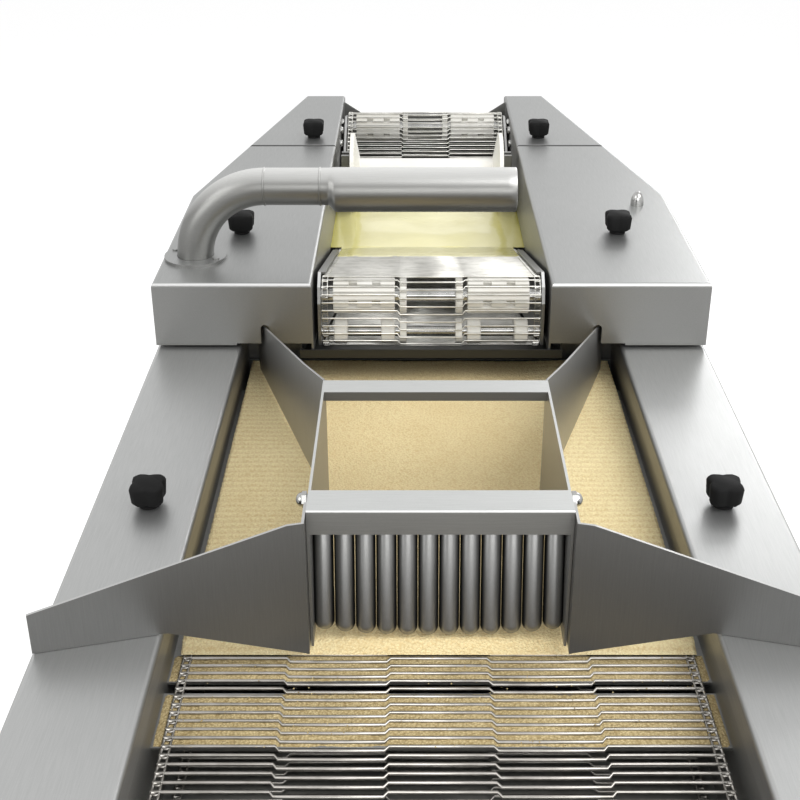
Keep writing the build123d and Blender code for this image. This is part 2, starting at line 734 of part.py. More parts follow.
# Crumb unit casing: two side channels, the trough between them and a floor below
body_front = front_y + sheet + seat_gap
trough_floor = crumb_belt_z - 2 * crumb_path - wire / 2 - 1.2
casing_top = crumb_cover_top - sheet
boss = 8.0
with BuildPart() as crumb_body:
    block(-crumb_outer, crumb_outer, body_front, behind(channel_rear), stand_top, casing_top)
    block(-crumb_wall - sheet, crumb_wall + sheet, behind(channel_rear), behind(crumb_rear), stand_top, casing_top)
    block(-crumb_wall, crumb_wall, body_front + sheet, behind(crumb_rear) - sheet, trough_floor, cover_top,
          Mode.SUBTRACT)
    block(-crumb_wall, crumb_wall, body_front + sheet, behind(crumb_rear) - sheet, stand_top + sheet,
          trough_floor - sheet, Mode.SUBTRACT)
    for side in (-1, 1):
        block(side * (crumb_wall + sheet), side * (crumb_outer - sheet), body_front + sheet,
              behind(channel_rear) - sheet, stand_top + sheet, cover_top, Mode.SUBTRACT)
    # Both ends of the trough stand lower than the belt
    block(-crumb_wall, crumb_wall, body_front - 1, body_front + sheet + 1, crumb_roll_z - 17, cover_top, Mode.SUBTRACT)
    block(-crumb_wall, crumb_wall, behind(crumb_rear) - sheet - 1, behind(crumb_rear) + 1,
          crumb_surface - 5, cover_top, Mode.SUBTRACT)
    block(-crumb_wall - 3, crumb_wall + 3, behind(channel_rear) + 2, behind(crumb_rear) + 1,
          below(tank_floor(channel_rear) - 2), cover_top, Mode.SUBTRACT)
    for side in (-1, 1):
        for roll_y in (crumb_nose_y, crumb_tail_y):
            rod(side * (crumb_wall + sheet), side * (crumb_wall + sheet + boss), roll_y, crumb_roll_z,
                crumb_shaft_radius + 7)
            rod(side * (crumb_wall - 1), side * (crumb_wall + sheet + boss + 1), roll_y, crumb_roll_z,
                crumb_shaft_radius + running_gap, Mode.SUBTRACT)
        # Bridge that the cover's knob screws into
        knob_y = behind(crumb_knob[1])
        block(side * (crumb_wall + sheet), side * (crumb_outer - sheet), knob_y - post_size / 2,
              knob_y + post_size / 2, casing_top - 14, casing_top - seat_gap)
        with Locations((side * crumb_knob[0], knob_y, casing_top)):
            Cylinder(stud_radius + running_gap, cover_depth, mode=Mode.SUBTRACT)
keep(crumb_body.part, "crumb_body")


def make_crumb_cover(side):
    """Folded lid over one side channel of the crumb unit."""
    with BuildPart() as lid:
        x0, x1 = crumb_inner, half_width
        block(side * x0, side * x1, front_y, behind(crumb_cover_rear), crumb_cover_top - crumb_outer_skirt,
              crumb_cover_top)
        fillet(lid.faces().sort_by(Axis.Z)[-1].edges(), bend_radius)
        block(side * (x0 + sheet), side * (x1 - sheet), front_y + sheet, behind(crumb_cover_rear) + 1,
              crumb_cover_top - crumb_outer_skirt - 1, crumb_cover_top - sheet, Mode.SUBTRACT)
        block(side * (x0 - 1), side * (x0 + sheet), front_y + crumb_path * 2, behind(crumb_cover_rear) + 1,
              crumb_cover_top - crumb_outer_skirt - 1, crumb_cover_top - crumb_skirt, Mode.SUBTRACT)
        with Locations((side * crumb_knob[0], behind(crumb_knob[1]), crumb_cover_top - sheet / 2)):
            Cylinder(stud_hole, 2 * sheet, mode=Mode.SUBTRACT)
    return lid


for side, word in ((-1, "left"), (1, "right")):
    lid = make_crumb_cover(side)
    keep(lid.part, "crumb_cover_" + word)

# Bed plates under the carrying run, with the gap where loose crumbs drop
bed_top = crumb_belt_z - wire / 2 - wire_gap
with BuildPart() as bed_plates:
    block(-crumb_wall, crumb_wall, behind(bed_gap_start), crumb_tail_y - 14, bed_top - sheet, bed_top)
    block(-crumb_wall, crumb_wall, behind(bed_strip_end), behind(bed_gap_start) - bed_gap, bed_top - sheet, bed_top)
keep(bed_plates.part, "bed_plates")

# Crumbs lying on the carrying run
with BuildPart() as crumb_layer:
    block(-crumb_wall + seat_gap + 5, crumb_wall - seat_gap - 5, behind(crumb_layer_front), behind(crumb_layer_rear),
          crumb_belt_z + wire / 2 + wire_gap, crumb_surface)
keep(crumb_layer.part, "crumb_layer")

# Crumb belt rollers
crumb_roller_radius = crumb_path - under_wire
gearbox = 50.0
with BuildPart() as outfeed_roller:
    rod(-crumb_wall - sheet - boss, crumb_wall + sheet + boss + gearbox - 10, crumb_nose_y, crumb_roll_z,
        crumb_shaft_radius)
    for lane in range(-2, 3):
        middle = lane * crumb_lane_step
        rod(middle - crumb_roller_width / 2, middle + crumb_roller_width / 2, crumb_nose_y, crumb_roll_z,
            crumb_roller_radius)
keep(outfeed_roller.part, "outfeed_roller")
with BuildPart() as tail_roller:
    rod(-crumb_wall - sheet - boss, crumb_wall + sheet + boss, crumb_tail_y, crumb_roll_z, crumb_shaft_radius)
    rod(-crumb_belt_half + 3, crumb_belt_half - 3, crumb_tail_y, crumb_roll_z, crumb_roller_radius)
keep(tail_roller.part, "tail_roller")

# Gearmotors, slipped on the ends of the driven shafts
crumb_motor_radius = 31.0
with BuildPart() as crumb_gearmotor:
    x0 = crumb_wall + sheet + boss
    middle = x0 + gearbox / 2
    block(x0, x0 + gearbox, crumb_nose_y - 34, crumb_nose_y + 44, crumb_roll_z - 40, crumb_roll_z + 40)
    fillet(crumb_gearmotor.edges().filter_by(Axis.X), 12)
    rod(x0 - 1, x0 + gearbox + 1, crumb_nose_y, crumb_roll_z, crumb_shaft_radius + running_gap, Mode.SUBTRACT)
    with Locations(Location((middle, crumb_nose_y + 44 + 80, crumb_roll_z), (90, 0, 0))):
        Cylinder(crumb_motor_radius - 4, 160)
    with Locations(Location((middle, crumb_nose_y + 44 + 170, crumb_roll_z), (90, 0, 0))):
        Cylinder(crumb_motor_radius - 2, 20)
keep(crumb_gearmotor.part, "crumb_gearmotor")

with BuildPart() as batter_gearmotor:
    x0 = lane_gap / 2 + sheet + 6
    x1 = drive_end + 4
    top = cover_top - sheet - 1
    place_y, place_z = shaft_y(infeed_at), shaft_z(infeed_at)
    block(tank_half + 8, x1, place_y - 26, place_y + 26, deck_top, top)
    block(x0, tank_half + 9, place_y - 18, place_y + 18, deck_top + 4, top)
    fillet(batter_gearmotor.edges().filter_by(Axis.X).group_by(Axis.Z)[-1], 6)
    rod(x0 - 1, x1 + 1, place_y, place_z, shaft_radius + running_gap, Mode.SUBTRACT)
    middle = (tank_half + 8 + x1) / 2
    motor_z = deck_top + 25
    with Locations(Location((middle + 6, place_y - 26 - 42, motor_z), (90, 0, 0))):
        Cylinder(24, 84)
keep(batter_gearmotor.part, "batter_gearmotor")

# Bridge frame over the crumbs: two bars and two side plates
frame_front = behind(bridge_front)
frame_rear = behind(bridge_rear)
pivot_y = behind(finger_pivot[0])
pivot_z = below(finger_pivot[1])
with BuildPart() as bridge_frame:
    for side in (-1, 1):
        block(side * (bridge_half - sheet), side * bridge_half, frame_front, frame_rear,
              crumb_surface + bridge_clear, bridge_top)
    block(-bridge_half + sheet, bridge_half - sheet, frame_front, frame_front + bridge_front_depth,
          bridge_top - sheet, bridge_top)
    block(-bridge_half + sheet, bridge_half - sheet, frame_front, frame_front + sheet, bridge_top - bridge_lip, bridge_top)
    block(-bridge_half + sheet, bridge_half - sheet, frame_rear - bridge_rear_depth, frame_rear,
          bridge_top - sheet, bridge_top)
    block(-bridge_half + sheet, bridge_half - sheet, frame_rear - bridge_rear_depth,
          frame_rear - bridge_rear_depth + sheet, bridge_top - bridge_rear_lip, bridge_top)
    fillet(bridge_frame.edges().filter_by(Axis.X).sort_by(Axis.Y)[:4].sort_by(Axis.Z)[-1], sheet * 0.9)
    rod(-bridge_half - 1, bridge_half + 1, pivot_y, pivot_z, finger_shaft_radius + running_gap, Mode.SUBTRACT)
keep(bridge_frame.part, "bridge_frame")

# V guides, from the rear corners of the bridge frame into the slots of the front covers
guide_heights = ((0.0, bridge_top), (76.0, cover_top - 12.0))
for side, word in ((-1, "left"), (1, "right")):
    run_x = side * (guide_end[0] - bridge_half)
    run_y = guide_end[1] - bridge_rear
    run = math.hypot(run_x, run_y)
    slot_at = run * (-bridge_rear - 6) / run_y
    slot_z = deck_top + slot_height - 2
    guide_plane = Plane(origin=(side * (bridge_half - sheet / 2), frame_rear, 0), x_dir=(run_x, run_y, 0),
                        z_dir=(run_y, -run_x, 0))
    with BuildPart() as guide:
        with BuildSketch(guide_plane):
            Polygon((seat_gap + sheet / 4, crumb_surface + bridge_clear), (run, crumb_surface + bridge_clear),
                    (run, slot_z - 8), (slot_at, slot_z), guide_heights[1],
                    (seat_gap + sheet / 4, bridge_top), align=None)
        extrude(amount=sheet / 2, both=True)
    keep(guide.part, "guide_" + word)

# Wings, from the front corners of the bridge frame out over the crumb covers
for side, word in ((-1, "left"), (1, "right")):
    inner_x = bridge_half + seat_gap
    reach = half_width - inner_x
    lean = math.hypot(1, wing_slope)
    wing_plane = Plane(origin=(side * inner_x, behind(wing_inner_y), 0), x_dir=(side, -wing_slope, 0),
                       z_dir=(-wing_slope * side * side, -side, 0))
    over = (crumb_inner - inner_x - 3) * lean
    rest_z = crumb_cover_top + seat_gap
    with BuildPart() as wing:
        with BuildSketch(wing_plane):
            Polygon((0, crumb_surface + 4), (over, rest_z), (reach * lean - 1, rest_z),
                    (reach * lean - 1, cover_top - wing_tip_depth), (12, bridge_top - sheet), (0, bridge_top - sheet),
                    align=None)
        extrude(amount=sheet / 2, both=True)
        # Flange along the inner edge, welded to the side plate of the bridge
        block(side * inner_x, side * (inner_x + sheet), behind(wing_inner_y) - 1, frame_front + 15,
              crumb_surface + 4, bridge_top - sheet)
    keep(wing.part, "wing_" + word)

# Cross shaft of the fingers
with BuildPart() as finger_shaft:
    rod(-bridge_half - 2, bridge_half + 2, pivot_y, pivot_z, finger_shaft_radius)
keep(finger_shaft.part, "finger_shaft")

# Fingers that level the crumbs, hung side by side and pushed forward a little by them
finger_reach = math.hypot(finger_tip[0] - finger_pivot[0], finger_tip[1] - finger_pivot[1])
finger_lean = math.degrees(math.atan2(finger_pivot[0] - finger_tip[0], finger_tip[1] - finger_pivot[1]))
for number in range(finger_count):
    x = (number - (finger_count - 1) / 2) * finger_pitch
    hang = Plane(origin=(x, pivot_y, pivot_z), x_dir=(1, 0, 0),
                 z_dir=(0, -math.sin(math.radians(finger_lean)), -math.cos(math.radians(finger_lean))))
    with BuildPart() as finger:
        with BuildSketch(hang.offset(-finger_radius)):
            Circle(finger_radius)
        extrude(amount=finger_reach + finger_radius)
        chamfer(finger.edges().filter_by(GeomType.CIRCLE).sort_by(Axis.Z)[0], finger_radius * 0.45)
        chamfer(finger.edges().filter_by(GeomType.CIRCLE).sort_by(Axis.Z)[-1], 2)
        rod(x - finger_radius - 1, x + finger_radius + 1, pivot_y, pivot_z, finger_shaft_radius + running_gap,
            Mode.SUBTRACT)
    keep(finger.part, "finger_%02d" % (number + 1))

# Dome nuts at the shaft ends and along the infeed, and the tall stud on the right cover
nut_radius = 5.5
nut_height = 7.0
wall_nut_height = 4.0
wall_nuts = ((645.0, 12.0), (612.0, 14.0), (588.0, 26.0))


def dome_nut(x, y, z, side, height):
    """A dome nut whose flat face stands at x and whose dome points along side."""
    with BuildSketch(Plane(origin=(x, y, z), x_dir=(0, 1, 0), z_dir=(side, 0, 0))) as face:
        Circle(nut_radius)
    extrude(to_extrude=face.sketch, amount=height * 0.4)
    with BuildSketch(Plane(origin=(x + side * height * 0.4, y, z), x_dir=(0, 1, 0), z_dir=(side, 0, 0))) as root:
        Circle(nut_radius * 0.86)
    extrude(to_extrude=root.sketch, amount=height * 0.6, taper=24)


with BuildPart() as dome_nuts:
    for side in (-1, 1):
        dome_nut(side * (bridge_half + 2), pivot_y, pivot_z, side, nut_height)
        for distance, depth in wall_nuts:
            dome_nut(side * lane_gap / 2, behind(distance), below(depth), -side, wall_nut_height)
    with BuildSketch(Plane.XY.offset(cover_top)) as stud_foot:
        with Locations((242, behind(243))):
            Circle(7.5)
    extrude(to_extrude=stud_foot.sketch, amount=16, taper=9)
keep(dome_nuts.part, "dome_nuts")

# Stand of square legs and channel rails
hollow = tube / 2 - tube_wall
legs = [(side * stand_half, behind(y)) for side in (-1, 1) for y in (leg_front, leg_rear)]
with BuildPart() as stand_frame:
    long_start, long_end = behind(leg_front) - tube / 2, behind(leg_rear) + tube / 2
    for x, y in legs:
        block(x - tube / 2, x + tube / 2, y - tube / 2, y + tube / 2, foot_height, stand_top)
    for side in (-1, 1):
        for z in (stand_top - tube / 2, low_rail):
            block(side * (stand_half - tube / 2), side * (stand_half + tube / 2), long_start, long_end,
                  z - tube / 2, z + tube / 2)
    for y in (behind(leg_front), behind(leg_rear)):
        for z in (stand_top - tube / 2, low_rail):
            block(-stand_half, stand_half, y - tube / 2, y + tube / 2, z - tube / 2, z + tube / 2)
    # Hollow of the legs, open below
    for x, y in legs:
        block(x - hollow, x + hollow, y - hollow, y + hollow, foot_height - 1, stand_top - tube_wall, Mode.SUBTRACT)
    # Rails and cross members are open along their undersides
    for side in (-1, 1):
        for z in (stand_top - tube / 2, low_rail):
            block(side * (stand_half - hollow), side * (stand_half + hollow), behind(leg_front) + tube / 2,
                  behind(leg_rear) - tube / 2, z - tube / 2 - 1, z + hollow, Mode.SUBTRACT)
    for y in (behind(leg_front), behind(leg_rear)):
        for z in (stand_top - tube / 2, low_rail):
            block(-stand_half + tube / 2, stand_half - tube / 2, y - hollow, y + hollow, z - tube / 2 - 1,
                  z + hollow, Mode.SUBTRACT)
keep(stand_frame.part, "stand_frame")

with BuildPart() as feet:
    for x, y in legs:
        for z0, height, radius in ((0, 9, foot_radius), (9, 6, foot_radius * 0.55), (15, foot_height - 15, 8),
                                   (foot_height - 12, 9, 14)):
            with BuildSketch(Plane.XY.offset(z0)) as ring:
                with Locations((x, y)):
                    Circle(radius)
            extrude(to_extrude=ring.sketch, amount=height)
        # Plug that closes the leg
        block(x - hollow + seat_gap, x + hollow - seat_gap, y - hollow + seat_gap, y + hollow - seat_gap,
              foot_height - 3, foot_height + 25)
keep(feet.part, "feet")

# Control box on the right rail of the stand
box_low, box_high = 470.0, 650.0
box_start, box_end = behind(230.0), behind(400.0)
box_face = half_width - 14.0
button_radius = 11.0
travel = 4.0
buttons = ((box_start + 45, box_high - 50), (box_start + 115, box_high - 50))
dial_at = (box_start + 80, box_low + 55)
with BuildPart() as control_box:
    x0 = stand_half + tube / 2
    block(x0, box_face, box_start, box_end, box_low, box_high)
    fillet(control_box.edges().filter_by(Axis.X), 5)
    block(x0, x0 + 12, box_start + 30, box_end - 30, box_high, stand_top - tube / 2)
    for y, z in buttons:
        rod(box_face - 8, box_face + 1, y, z, button_radius + seat_gap, Mode.SUBTRACT)
    rod(box_face - 8, box_face + 1, dial_at[0], dial_at[1], 4 + running_gap, Mode.SUBTRACT)
    # Cable gland below
    with Locations((x0 + 22, box_start + 30, box_low - 4)):
        Cylinder(12, 8)
    with Locations((x0 + 22, box_start + 30, box_low - 14)):
        Cylinder(9, 12)
        Cylinder(5, 12, mode=Mode.SUBTRACT)
keep(control_box.part, "control_box")
for (y, z), name in zip(buttons, ("start_button", "stop_button")):
    with BuildPart() as button:
        rod(box_face - 8 + travel, box_face + 5, y, z, button_radius)
    keep(button.part, name)
with BuildPart() as speed_knob:
    rod(box_face - 7, box_face + seat_gap, dial_at[0], dial_at[1], 4)
    rod(box_face + seat_gap, box_face + 13, dial_at[0], dial_at[1], 14)
    block(box_face + 13, box_face + 13.8, dial_at[0] - 1.5, dial_at[0] + 1.5, dial_at[1], dial_at[1] + 13)
keep(speed_knob.part, "speed_knob")
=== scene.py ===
"""Looks of the batter breading machine: finishes, detailed pieces, light and camera."""

import json
import logging
import math
import random
from dataclasses import dataclass, field
from enum import Enum
from typing import Any, Sequence

import bmesh
import bpy
from mathutils import Matrix, Vector, noise


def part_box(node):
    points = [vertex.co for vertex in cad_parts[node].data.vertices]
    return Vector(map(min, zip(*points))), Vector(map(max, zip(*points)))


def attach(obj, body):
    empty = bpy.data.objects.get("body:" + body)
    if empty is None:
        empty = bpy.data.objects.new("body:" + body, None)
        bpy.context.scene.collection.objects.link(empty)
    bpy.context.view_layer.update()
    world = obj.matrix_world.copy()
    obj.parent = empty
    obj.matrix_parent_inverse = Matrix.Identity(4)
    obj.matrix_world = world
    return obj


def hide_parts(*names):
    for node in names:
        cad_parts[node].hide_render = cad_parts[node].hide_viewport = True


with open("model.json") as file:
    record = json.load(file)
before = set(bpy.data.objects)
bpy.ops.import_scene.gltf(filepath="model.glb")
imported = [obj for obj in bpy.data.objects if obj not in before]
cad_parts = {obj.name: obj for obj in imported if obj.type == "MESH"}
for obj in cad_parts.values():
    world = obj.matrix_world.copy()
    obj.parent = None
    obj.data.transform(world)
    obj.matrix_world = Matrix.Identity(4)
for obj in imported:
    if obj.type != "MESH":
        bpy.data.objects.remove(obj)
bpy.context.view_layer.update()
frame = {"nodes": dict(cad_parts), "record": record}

log = logging.getLogger("breading machine")

Point = tuple[float, float, float]
Colour = tuple[float, float, float]
Station = tuple[float, float, float]

FACE_Y = -0.028
COVER_TOP = 1.0
WIRE_PITCH = 0.00847
FULL_TURN = 2 * math.pi
QUARTER_TURN = math.pi / 2
ACROSS, UP = Vector((1, 0, 0)), Vector((0, 0, 1))
WHITE = (1.0, 1.0, 1.0, 1.0)


def behind(distance: float) -> float:
    """Y of a place, in metres, a distance in mm behind the batter unit's front face."""
    return FACE_Y + distance / 1000


def below(depth: float) -> float:
    """Z of a place, in metres, a depth in mm below the covers' tops."""
    return COVER_TOP - depth / 1000


NOSE_AXIS, NOSE_RADIUS = (behind(28.5), below(24)), 0.0194
RETURN_AXIS, RETURN_RADIUS = (behind(23.1), below(61)), 0.014
INFEED_AXIS, INFEED_RADIUS = (behind(664), below(24)), 0.020
RIB_DROP = 0.0013
CROSS_SHAFT = (behind(-399), below(5.6))
PIPE_Y = behind(74.7)


def shade(colour: Colour, share: float) -> Colour:
    """A colour at a share of its brightness."""
    return colour[0] * share, colour[1] * share, colour[2] * share


class Grain(Enum):
    """Direction of the brush marks on a sheet."""

    ACROSS = (3.0, 90.0, 90.0)
    ALONG = (90.0, 3.0, 90.0)
    UPRIGHT = (90.0, 90.0, 3.0)
    NONE = (60.0, 60.0, 60.0)


class Value:
    """A number that varies over a surface. Arithmetic on it adds the Math nodes."""

    def __init__(self, tree: "NodeTree", socket: bpy.types.NodeSocket) -> None:
        """Keep the socket that carries the number, and the tree that it is in."""
        self.tree = tree
        self.socket = socket

    def _math(self, operation: str, *values: Any) -> "Value":
        """Add one Math node.

        Args:
            operation: Name of the Math node's operation.
            values: Its values or numbers.

        Returns:
            The node's result.
        """
        node = self.tree.node("ShaderNodeMath", {"operation": operation}, dict(enumerate(values)))
        return Value(self.tree, node.outputs[0])

    def __add__(self, other: Any) -> "Value":
        """Sum."""
        return self._math("ADD", self, other)

    def __sub__(self, other: Any) -> "Value":
        """Difference."""
        return self._math("SUBTRACT", self, other)

    def __rsub__(self, other: Any) -> "Value":
        """Difference from a number on the left."""
        return self._math("SUBTRACT", other, self)

    def __mul__(self, other: Any) -> "Value":
        """Product."""
        return self._math("MULTIPLY", self, other)

    def absolute(self) -> "Value":
        """The value without its sign."""
        return self._math("ABSOLUTE", self)

    def sine(self) -> "Value":
        """Sine of an angle in radians."""
        return self._math("SINE", self)

    def at_least(self, other: Any) -> "Value":
        """The larger of two values."""
        return self._math("MAXIMUM", self, other)

    def at_most(self, other: Any) -> "Value":
        """The smaller of two values."""
        return self._math("MINIMUM", self, other)

    def limited(self) -> "Value":
        """The value kept between 0 and 1."""
        return self.at_least(0.0).at_most(1.0)

    def between(self, low: float, high: float) -> "Value":
        """0 below low, 1 above high, and straight between."""
        return ((self - low) * (1.0 / (high - low))).limited()


class NodeTree:
    """A tree of shader nodes under construction."""

    def __init__(self, tree: bpy.types.NodeTree) -> None:
        """Start with an empty tree.

        Args:
            tree: The tree of a material or of the world.
        """
        self.nodes = tree.nodes
        self.links = tree.links
        self.nodes.clear()

    def node(self, kind: str, settings: dict[str, Any] | None = None,
             inputs: dict[Any, Any] | None = None) -> bpy.types.Node:
        """Add one node.

        Args:
            kind: Type of the node.
            settings: Settings of the node, made first. A ramp's stops are given as "stops".
            inputs: Numbers, colours or links of its sockets, by name or place.

        Returns:
            The new node.
        """
        node = self.nodes.new(kind)
        for name, value in (settings or {}).items():
            if name == "stops":
                self.set_stops(node, value)
            else:
                setattr(node, name, value)
        for name, value in (inputs or {}).items():
            if isinstance(value, Value):
                value = value.socket
            if isinstance(value, bpy.types.NodeSocket):
                self.links.new(value, node.inputs[name])
            else:
                node.inputs[name].default_value = value
        return node

    @staticmethod
    def set_stops(node: bpy.types.Node, stops: Sequence[tuple[float, Colour]]) -> None:
        """Set the stops of a colour ramp.

        Args:
            node: The ramp.
            stops: Place and colour of each stop.
        """
        ramp = node.color_ramp
        while len(ramp.elements) < len(stops):
            ramp.elements.new(1.0)
        for element, (place, colour) in zip(ramp.elements, stops):
            element.position = place
            element.color = (*colour, 1.0)


class Finish(NodeTree):
    """A material under construction: its node tree and its surface shader."""

    def __init__(self, name: str) -> None:
        """Start a material of this name with one surface shader.

        Args:
            name: Name of the material.
        """
        self.material = bpy.data.materials.new(name)
        self.material.use_nodes = True
        super().__init__(self.material.node_tree)
        self.shader = self.node("ShaderNodeBsdfPrincipled")
        self.out = self.node("ShaderNodeOutputMaterial", {}, {"Surface": self.shader.outputs[0]})
        self.place = self.node("ShaderNodeTexCoord").outputs["Object"]

    def set(self, **values: Any) -> None:
        """Set sockets of the surface shader, with underscores for the spaces in their names.

        Args:
            values: Numbers, colours or links by the sockets' names.
        """
        for name, value in values.items():
            socket = self.shader.inputs[name.replace("_", " ")]
            if isinstance(value, Value):
                value = value.socket
            if isinstance(value, bpy.types.NodeSocket):
                self.links.new(value, socket)
            elif isinstance(value, tuple) and len(value) == 3:
                socket.default_value = (*value, 1.0)
            else:
                socket.default_value = value

    def parts(self, vector: bpy.types.NodeSocket) -> tuple[Value, Value, Value]:
        """A vector's parts along X, Y and Z."""
        node = self.node("ShaderNodeSeparateXYZ", {}, {0: vector})
        return Value(self, node.outputs[0]), Value(self, node.outputs[1]), Value(self, node.outputs[2])

    def facing(self) -> tuple[Value, Value, Value]:
        """How far the surface faces along X, along Y and up."""
        return self.parts(self.node("ShaderNodeTexCoord").outputs["Normal"])

    def noise(self, scale: float, detail: float, stretch: Point = (1.0, 1.0, 1.0)) -> Value:
        """Cloudy noise.

        Args:
            scale: Cells per metre before the stretch.
            detail: Number of finer layers.
            stretch: Factor of each axis.

        Returns:
            The noise, about 0.5 on average.
        """
        mapped = self.node("ShaderNodeVectorMath", {"operation": "MULTIPLY"}, {0: self.place, 1: stretch})
        node = self.node("ShaderNodeTexNoise", {}, {"Vector": mapped.outputs[0], "Scale": scale,
                                                    "Detail": detail, "Roughness": 0.5})
        return Value(self, node.outputs["Fac"])

    def cells(self, scale: float) -> Value:
        """Distance to the nearest of scattered points, as grains have it."""
        node = self.node("ShaderNodeTexVoronoi", {}, {"Vector": self.place, "Scale": scale})
        return Value(self, node.outputs["Distance"])

    def blend(self, share: Value, first: Any, second: Any) -> bpy.types.NodeSocket:
        """Mix two colours.

        Args:
            share: Share of the second colour.
            first: First colour or link.
            second: Second colour or link.

        Returns:
            The mixed colour.
        """
        colours = [(*c, 1.0) if isinstance(c, tuple) else c for c in (first, second)]
        node = self.node("ShaderNodeMix", {"data_type": "RGBA"}, {0: share, 6: colours[0], 7: colours[1]})
        return node.outputs[2]

    def relief(self, height: Value, depth: float) -> None:
        """Bump the surface.

        Args:
            height: Height between 0 and 1.
            depth: Real height of 1, in metres.
        """
        bump = self.node("ShaderNodeBump", {}, {"Strength": 1.0, "Distance": depth, "Height": height})
        self.links.new(bump.outputs["Normal"], self.shader.inputs["Normal"])


@dataclass(frozen=True)
class Steel:
    """Satin stainless sheet with brush marks and faint handling marks, painted lighter where it lies flat,
    as lit from above.

    Attributes:
        name: Name of the finish.
        flat: Colour where the sheet lies flat, painted lighter as lit from above.
        upright: Colour where it stands, painted darker as in shade.
        rough: Roughness.
        grain: Direction of the brush marks.
        grain_depth: Depth of the brush marks, in metres.
        metal: Share of bare metal.
        fold: Colour painted on a rounded fold, strongest where it faces the front: a painted highlight, and
            on the rear covers a dark painted shade line.
        fold_share: Share of that colour.
        side: Painted shade on faces turned to the sides, as their brightness against the other upright
            faces.
        turn: Upward lean at which the colour starts to turn to that of flat sheet, and at which it has.
        dull: Brightness of the dull patches, against the pale ones.
    """

    name: str
    flat: Colour
    upright: Colour
    rough: float
    grain: Grain = Grain.NONE
    grain_depth: float = 0.00002
    metal: float = 0.9
    fold: Colour = (0.80, 0.80, 0.79)
    fold_share: float = 0.75
    side: float = 1.0
    turn: tuple[float, float] = (0.25, 0.9)
    dull: float = 0.84

    def make(self) -> bpy.types.Material:
        """Build the material.

        Returns:
            The material.
        """
        finish = Finish(self.name)
        brush = finish.noise(14.0, 5.0, self.grain.value)
        cloud = finish.noise(3.5, 3.0)
        speck = finish.noise(900.0, 2.0)
        tone = (brush * 0.45 + cloud * 0.4 + speck * 0.15).between(0.3, 0.7)
        turned, ahead, lift = finish.facing()
        # Painted light: flat sheet takes the lighter colour and upright sheet the darker one, by how far
        # the surface faces up.
        facing = lift.between(*self.turn)
        # Painted highlight on rounded folds, strongest on those that face the front; the rear covers' dark
        # fold colour paints a shade line there instead.
        front_facing_share = (0.0 - ahead).between(0.2, 0.5) * 0.85 + 0.15
        rounded = lift.between(0.40, 0.62) * (1.0 - lift.between(0.86, 0.97)) * front_facing_share * self.fold_share
        pale = finish.blend(facing, self.upright, self.flat)
        deep = finish.blend(facing, shade(self.upright, self.dull), shade(self.flat, self.dull))
        sheet = finish.blend(tone, deep, pale)
        # Painted shade on faces turned to the sides.
        if self.side < 1.0:
            dark = shade(self.upright, self.side)
            sheet = finish.blend((turned * turned).between(0.25, 0.85), sheet, dark)
        finish.set(Base_Color=finish.blend(rounded, sheet, self.fold), Metallic=self.metal,
                   Roughness=(tone * -0.1 + (self.rough + 0.05)))
        finish.relief(brush * 0.5 + speck * 0.5, self.grain_depth)
        return finish.material


@dataclass(frozen=True)
class Bright:
    """Polished metal of wires, nuts and screws.

    Attributes:
        name: Name of the finish.
        colour: Its colour.
        rough: Lowest roughness.
    """

    name: str
    colour: Colour
    rough: float

    def make(self) -> bpy.types.Material:
        """Build the material.

        Returns:
            The material.
        """
        finish = Finish(self.name)
        cloud = finish.noise(60.0, 3.0)
        dull = (self.colour[0] * 0.7, self.colour[1] * 0.7, self.colour[2] * 0.68)
        finish.set(Base_Color=finish.blend(cloud.between(0.25, 0.6), dull, self.colour), Metallic=1.0,
                   Roughness=(cloud * 0.15 + self.rough))
        return finish.material


@dataclass(frozen=True)
class Plastic:
    """Moulded or turned plastic with a faint surface texture.

    Attributes:
        name: Name of the finish.
        colour: Its colour.
        worn: Its colour in patches.
        rough: Lowest roughness.
        depth: Depth of the texture, in metres.
        gloss: Strength of its shine.
    """

    name: str
    colour: Colour
    worn: Colour
    rough: float
    depth: float = 0.00005
    gloss: float = 0.5

    def make(self) -> bpy.types.Material:
        """Build the material.

        Returns:
            The material.
        """
        finish = Finish(self.name)
        finish.shader.inputs["Specular IOR Level"].default_value = self.gloss
        cloud = finish.noise(25.0, 4.0)
        fine = finish.noise(1500.0, 2.0)
        finish.set(Base_Color=finish.blend(cloud.between(0.35, 0.75), self.colour, self.worn),
                   Roughness=(fine * 0.1 + self.rough))
        finish.relief(fine, self.depth)
        return finish.material


@dataclass(frozen=True)
class Crumbs:
    """Loose dry crumbs: grains of mixed yellow and tan, raked in rows beside the guides.

    Attributes:
        name: Name of the finish.
        pale: Colour of the highest grains.
        deep: Colour between the grains.
        rows: How clearly the rows show.
    """

    name: str = "dry crumbs"
    pale: Colour = (0.98, 0.85, 0.51)
    deep: Colour = (0.79, 0.61, 0.31)
    rows: float = 0.85

    def make(self) -> bpy.types.Material:
        """Build the material.

        Returns:
            The material.
        """
        finish = Finish(self.name)
        grains = finish.cells(520.0)
        small = finish.noise(1100.0, 3.0)
        patch = finish.noise(22.0, 4.0)
        x, y, _ = finish.parts(finish.place)
        wave = (y * (FULL_TURN / WIRE_PITCH)).sine() * 0.5 + 0.5
        rows = wave * x.absolute().between(0.098, 0.112) * self.rows
        tone = (grains * 0.7 + small * 0.5 + patch * 0.35 - rows * 0.3).between(0.35, 1.0)
        finish.set(Base_Color=finish.blend(tone, self.pale, self.deep), Roughness=0.92)
        finish.relief(small * 0.6 - grains * 0.6 - rows * 0.35, 0.0012)
        return finish.material


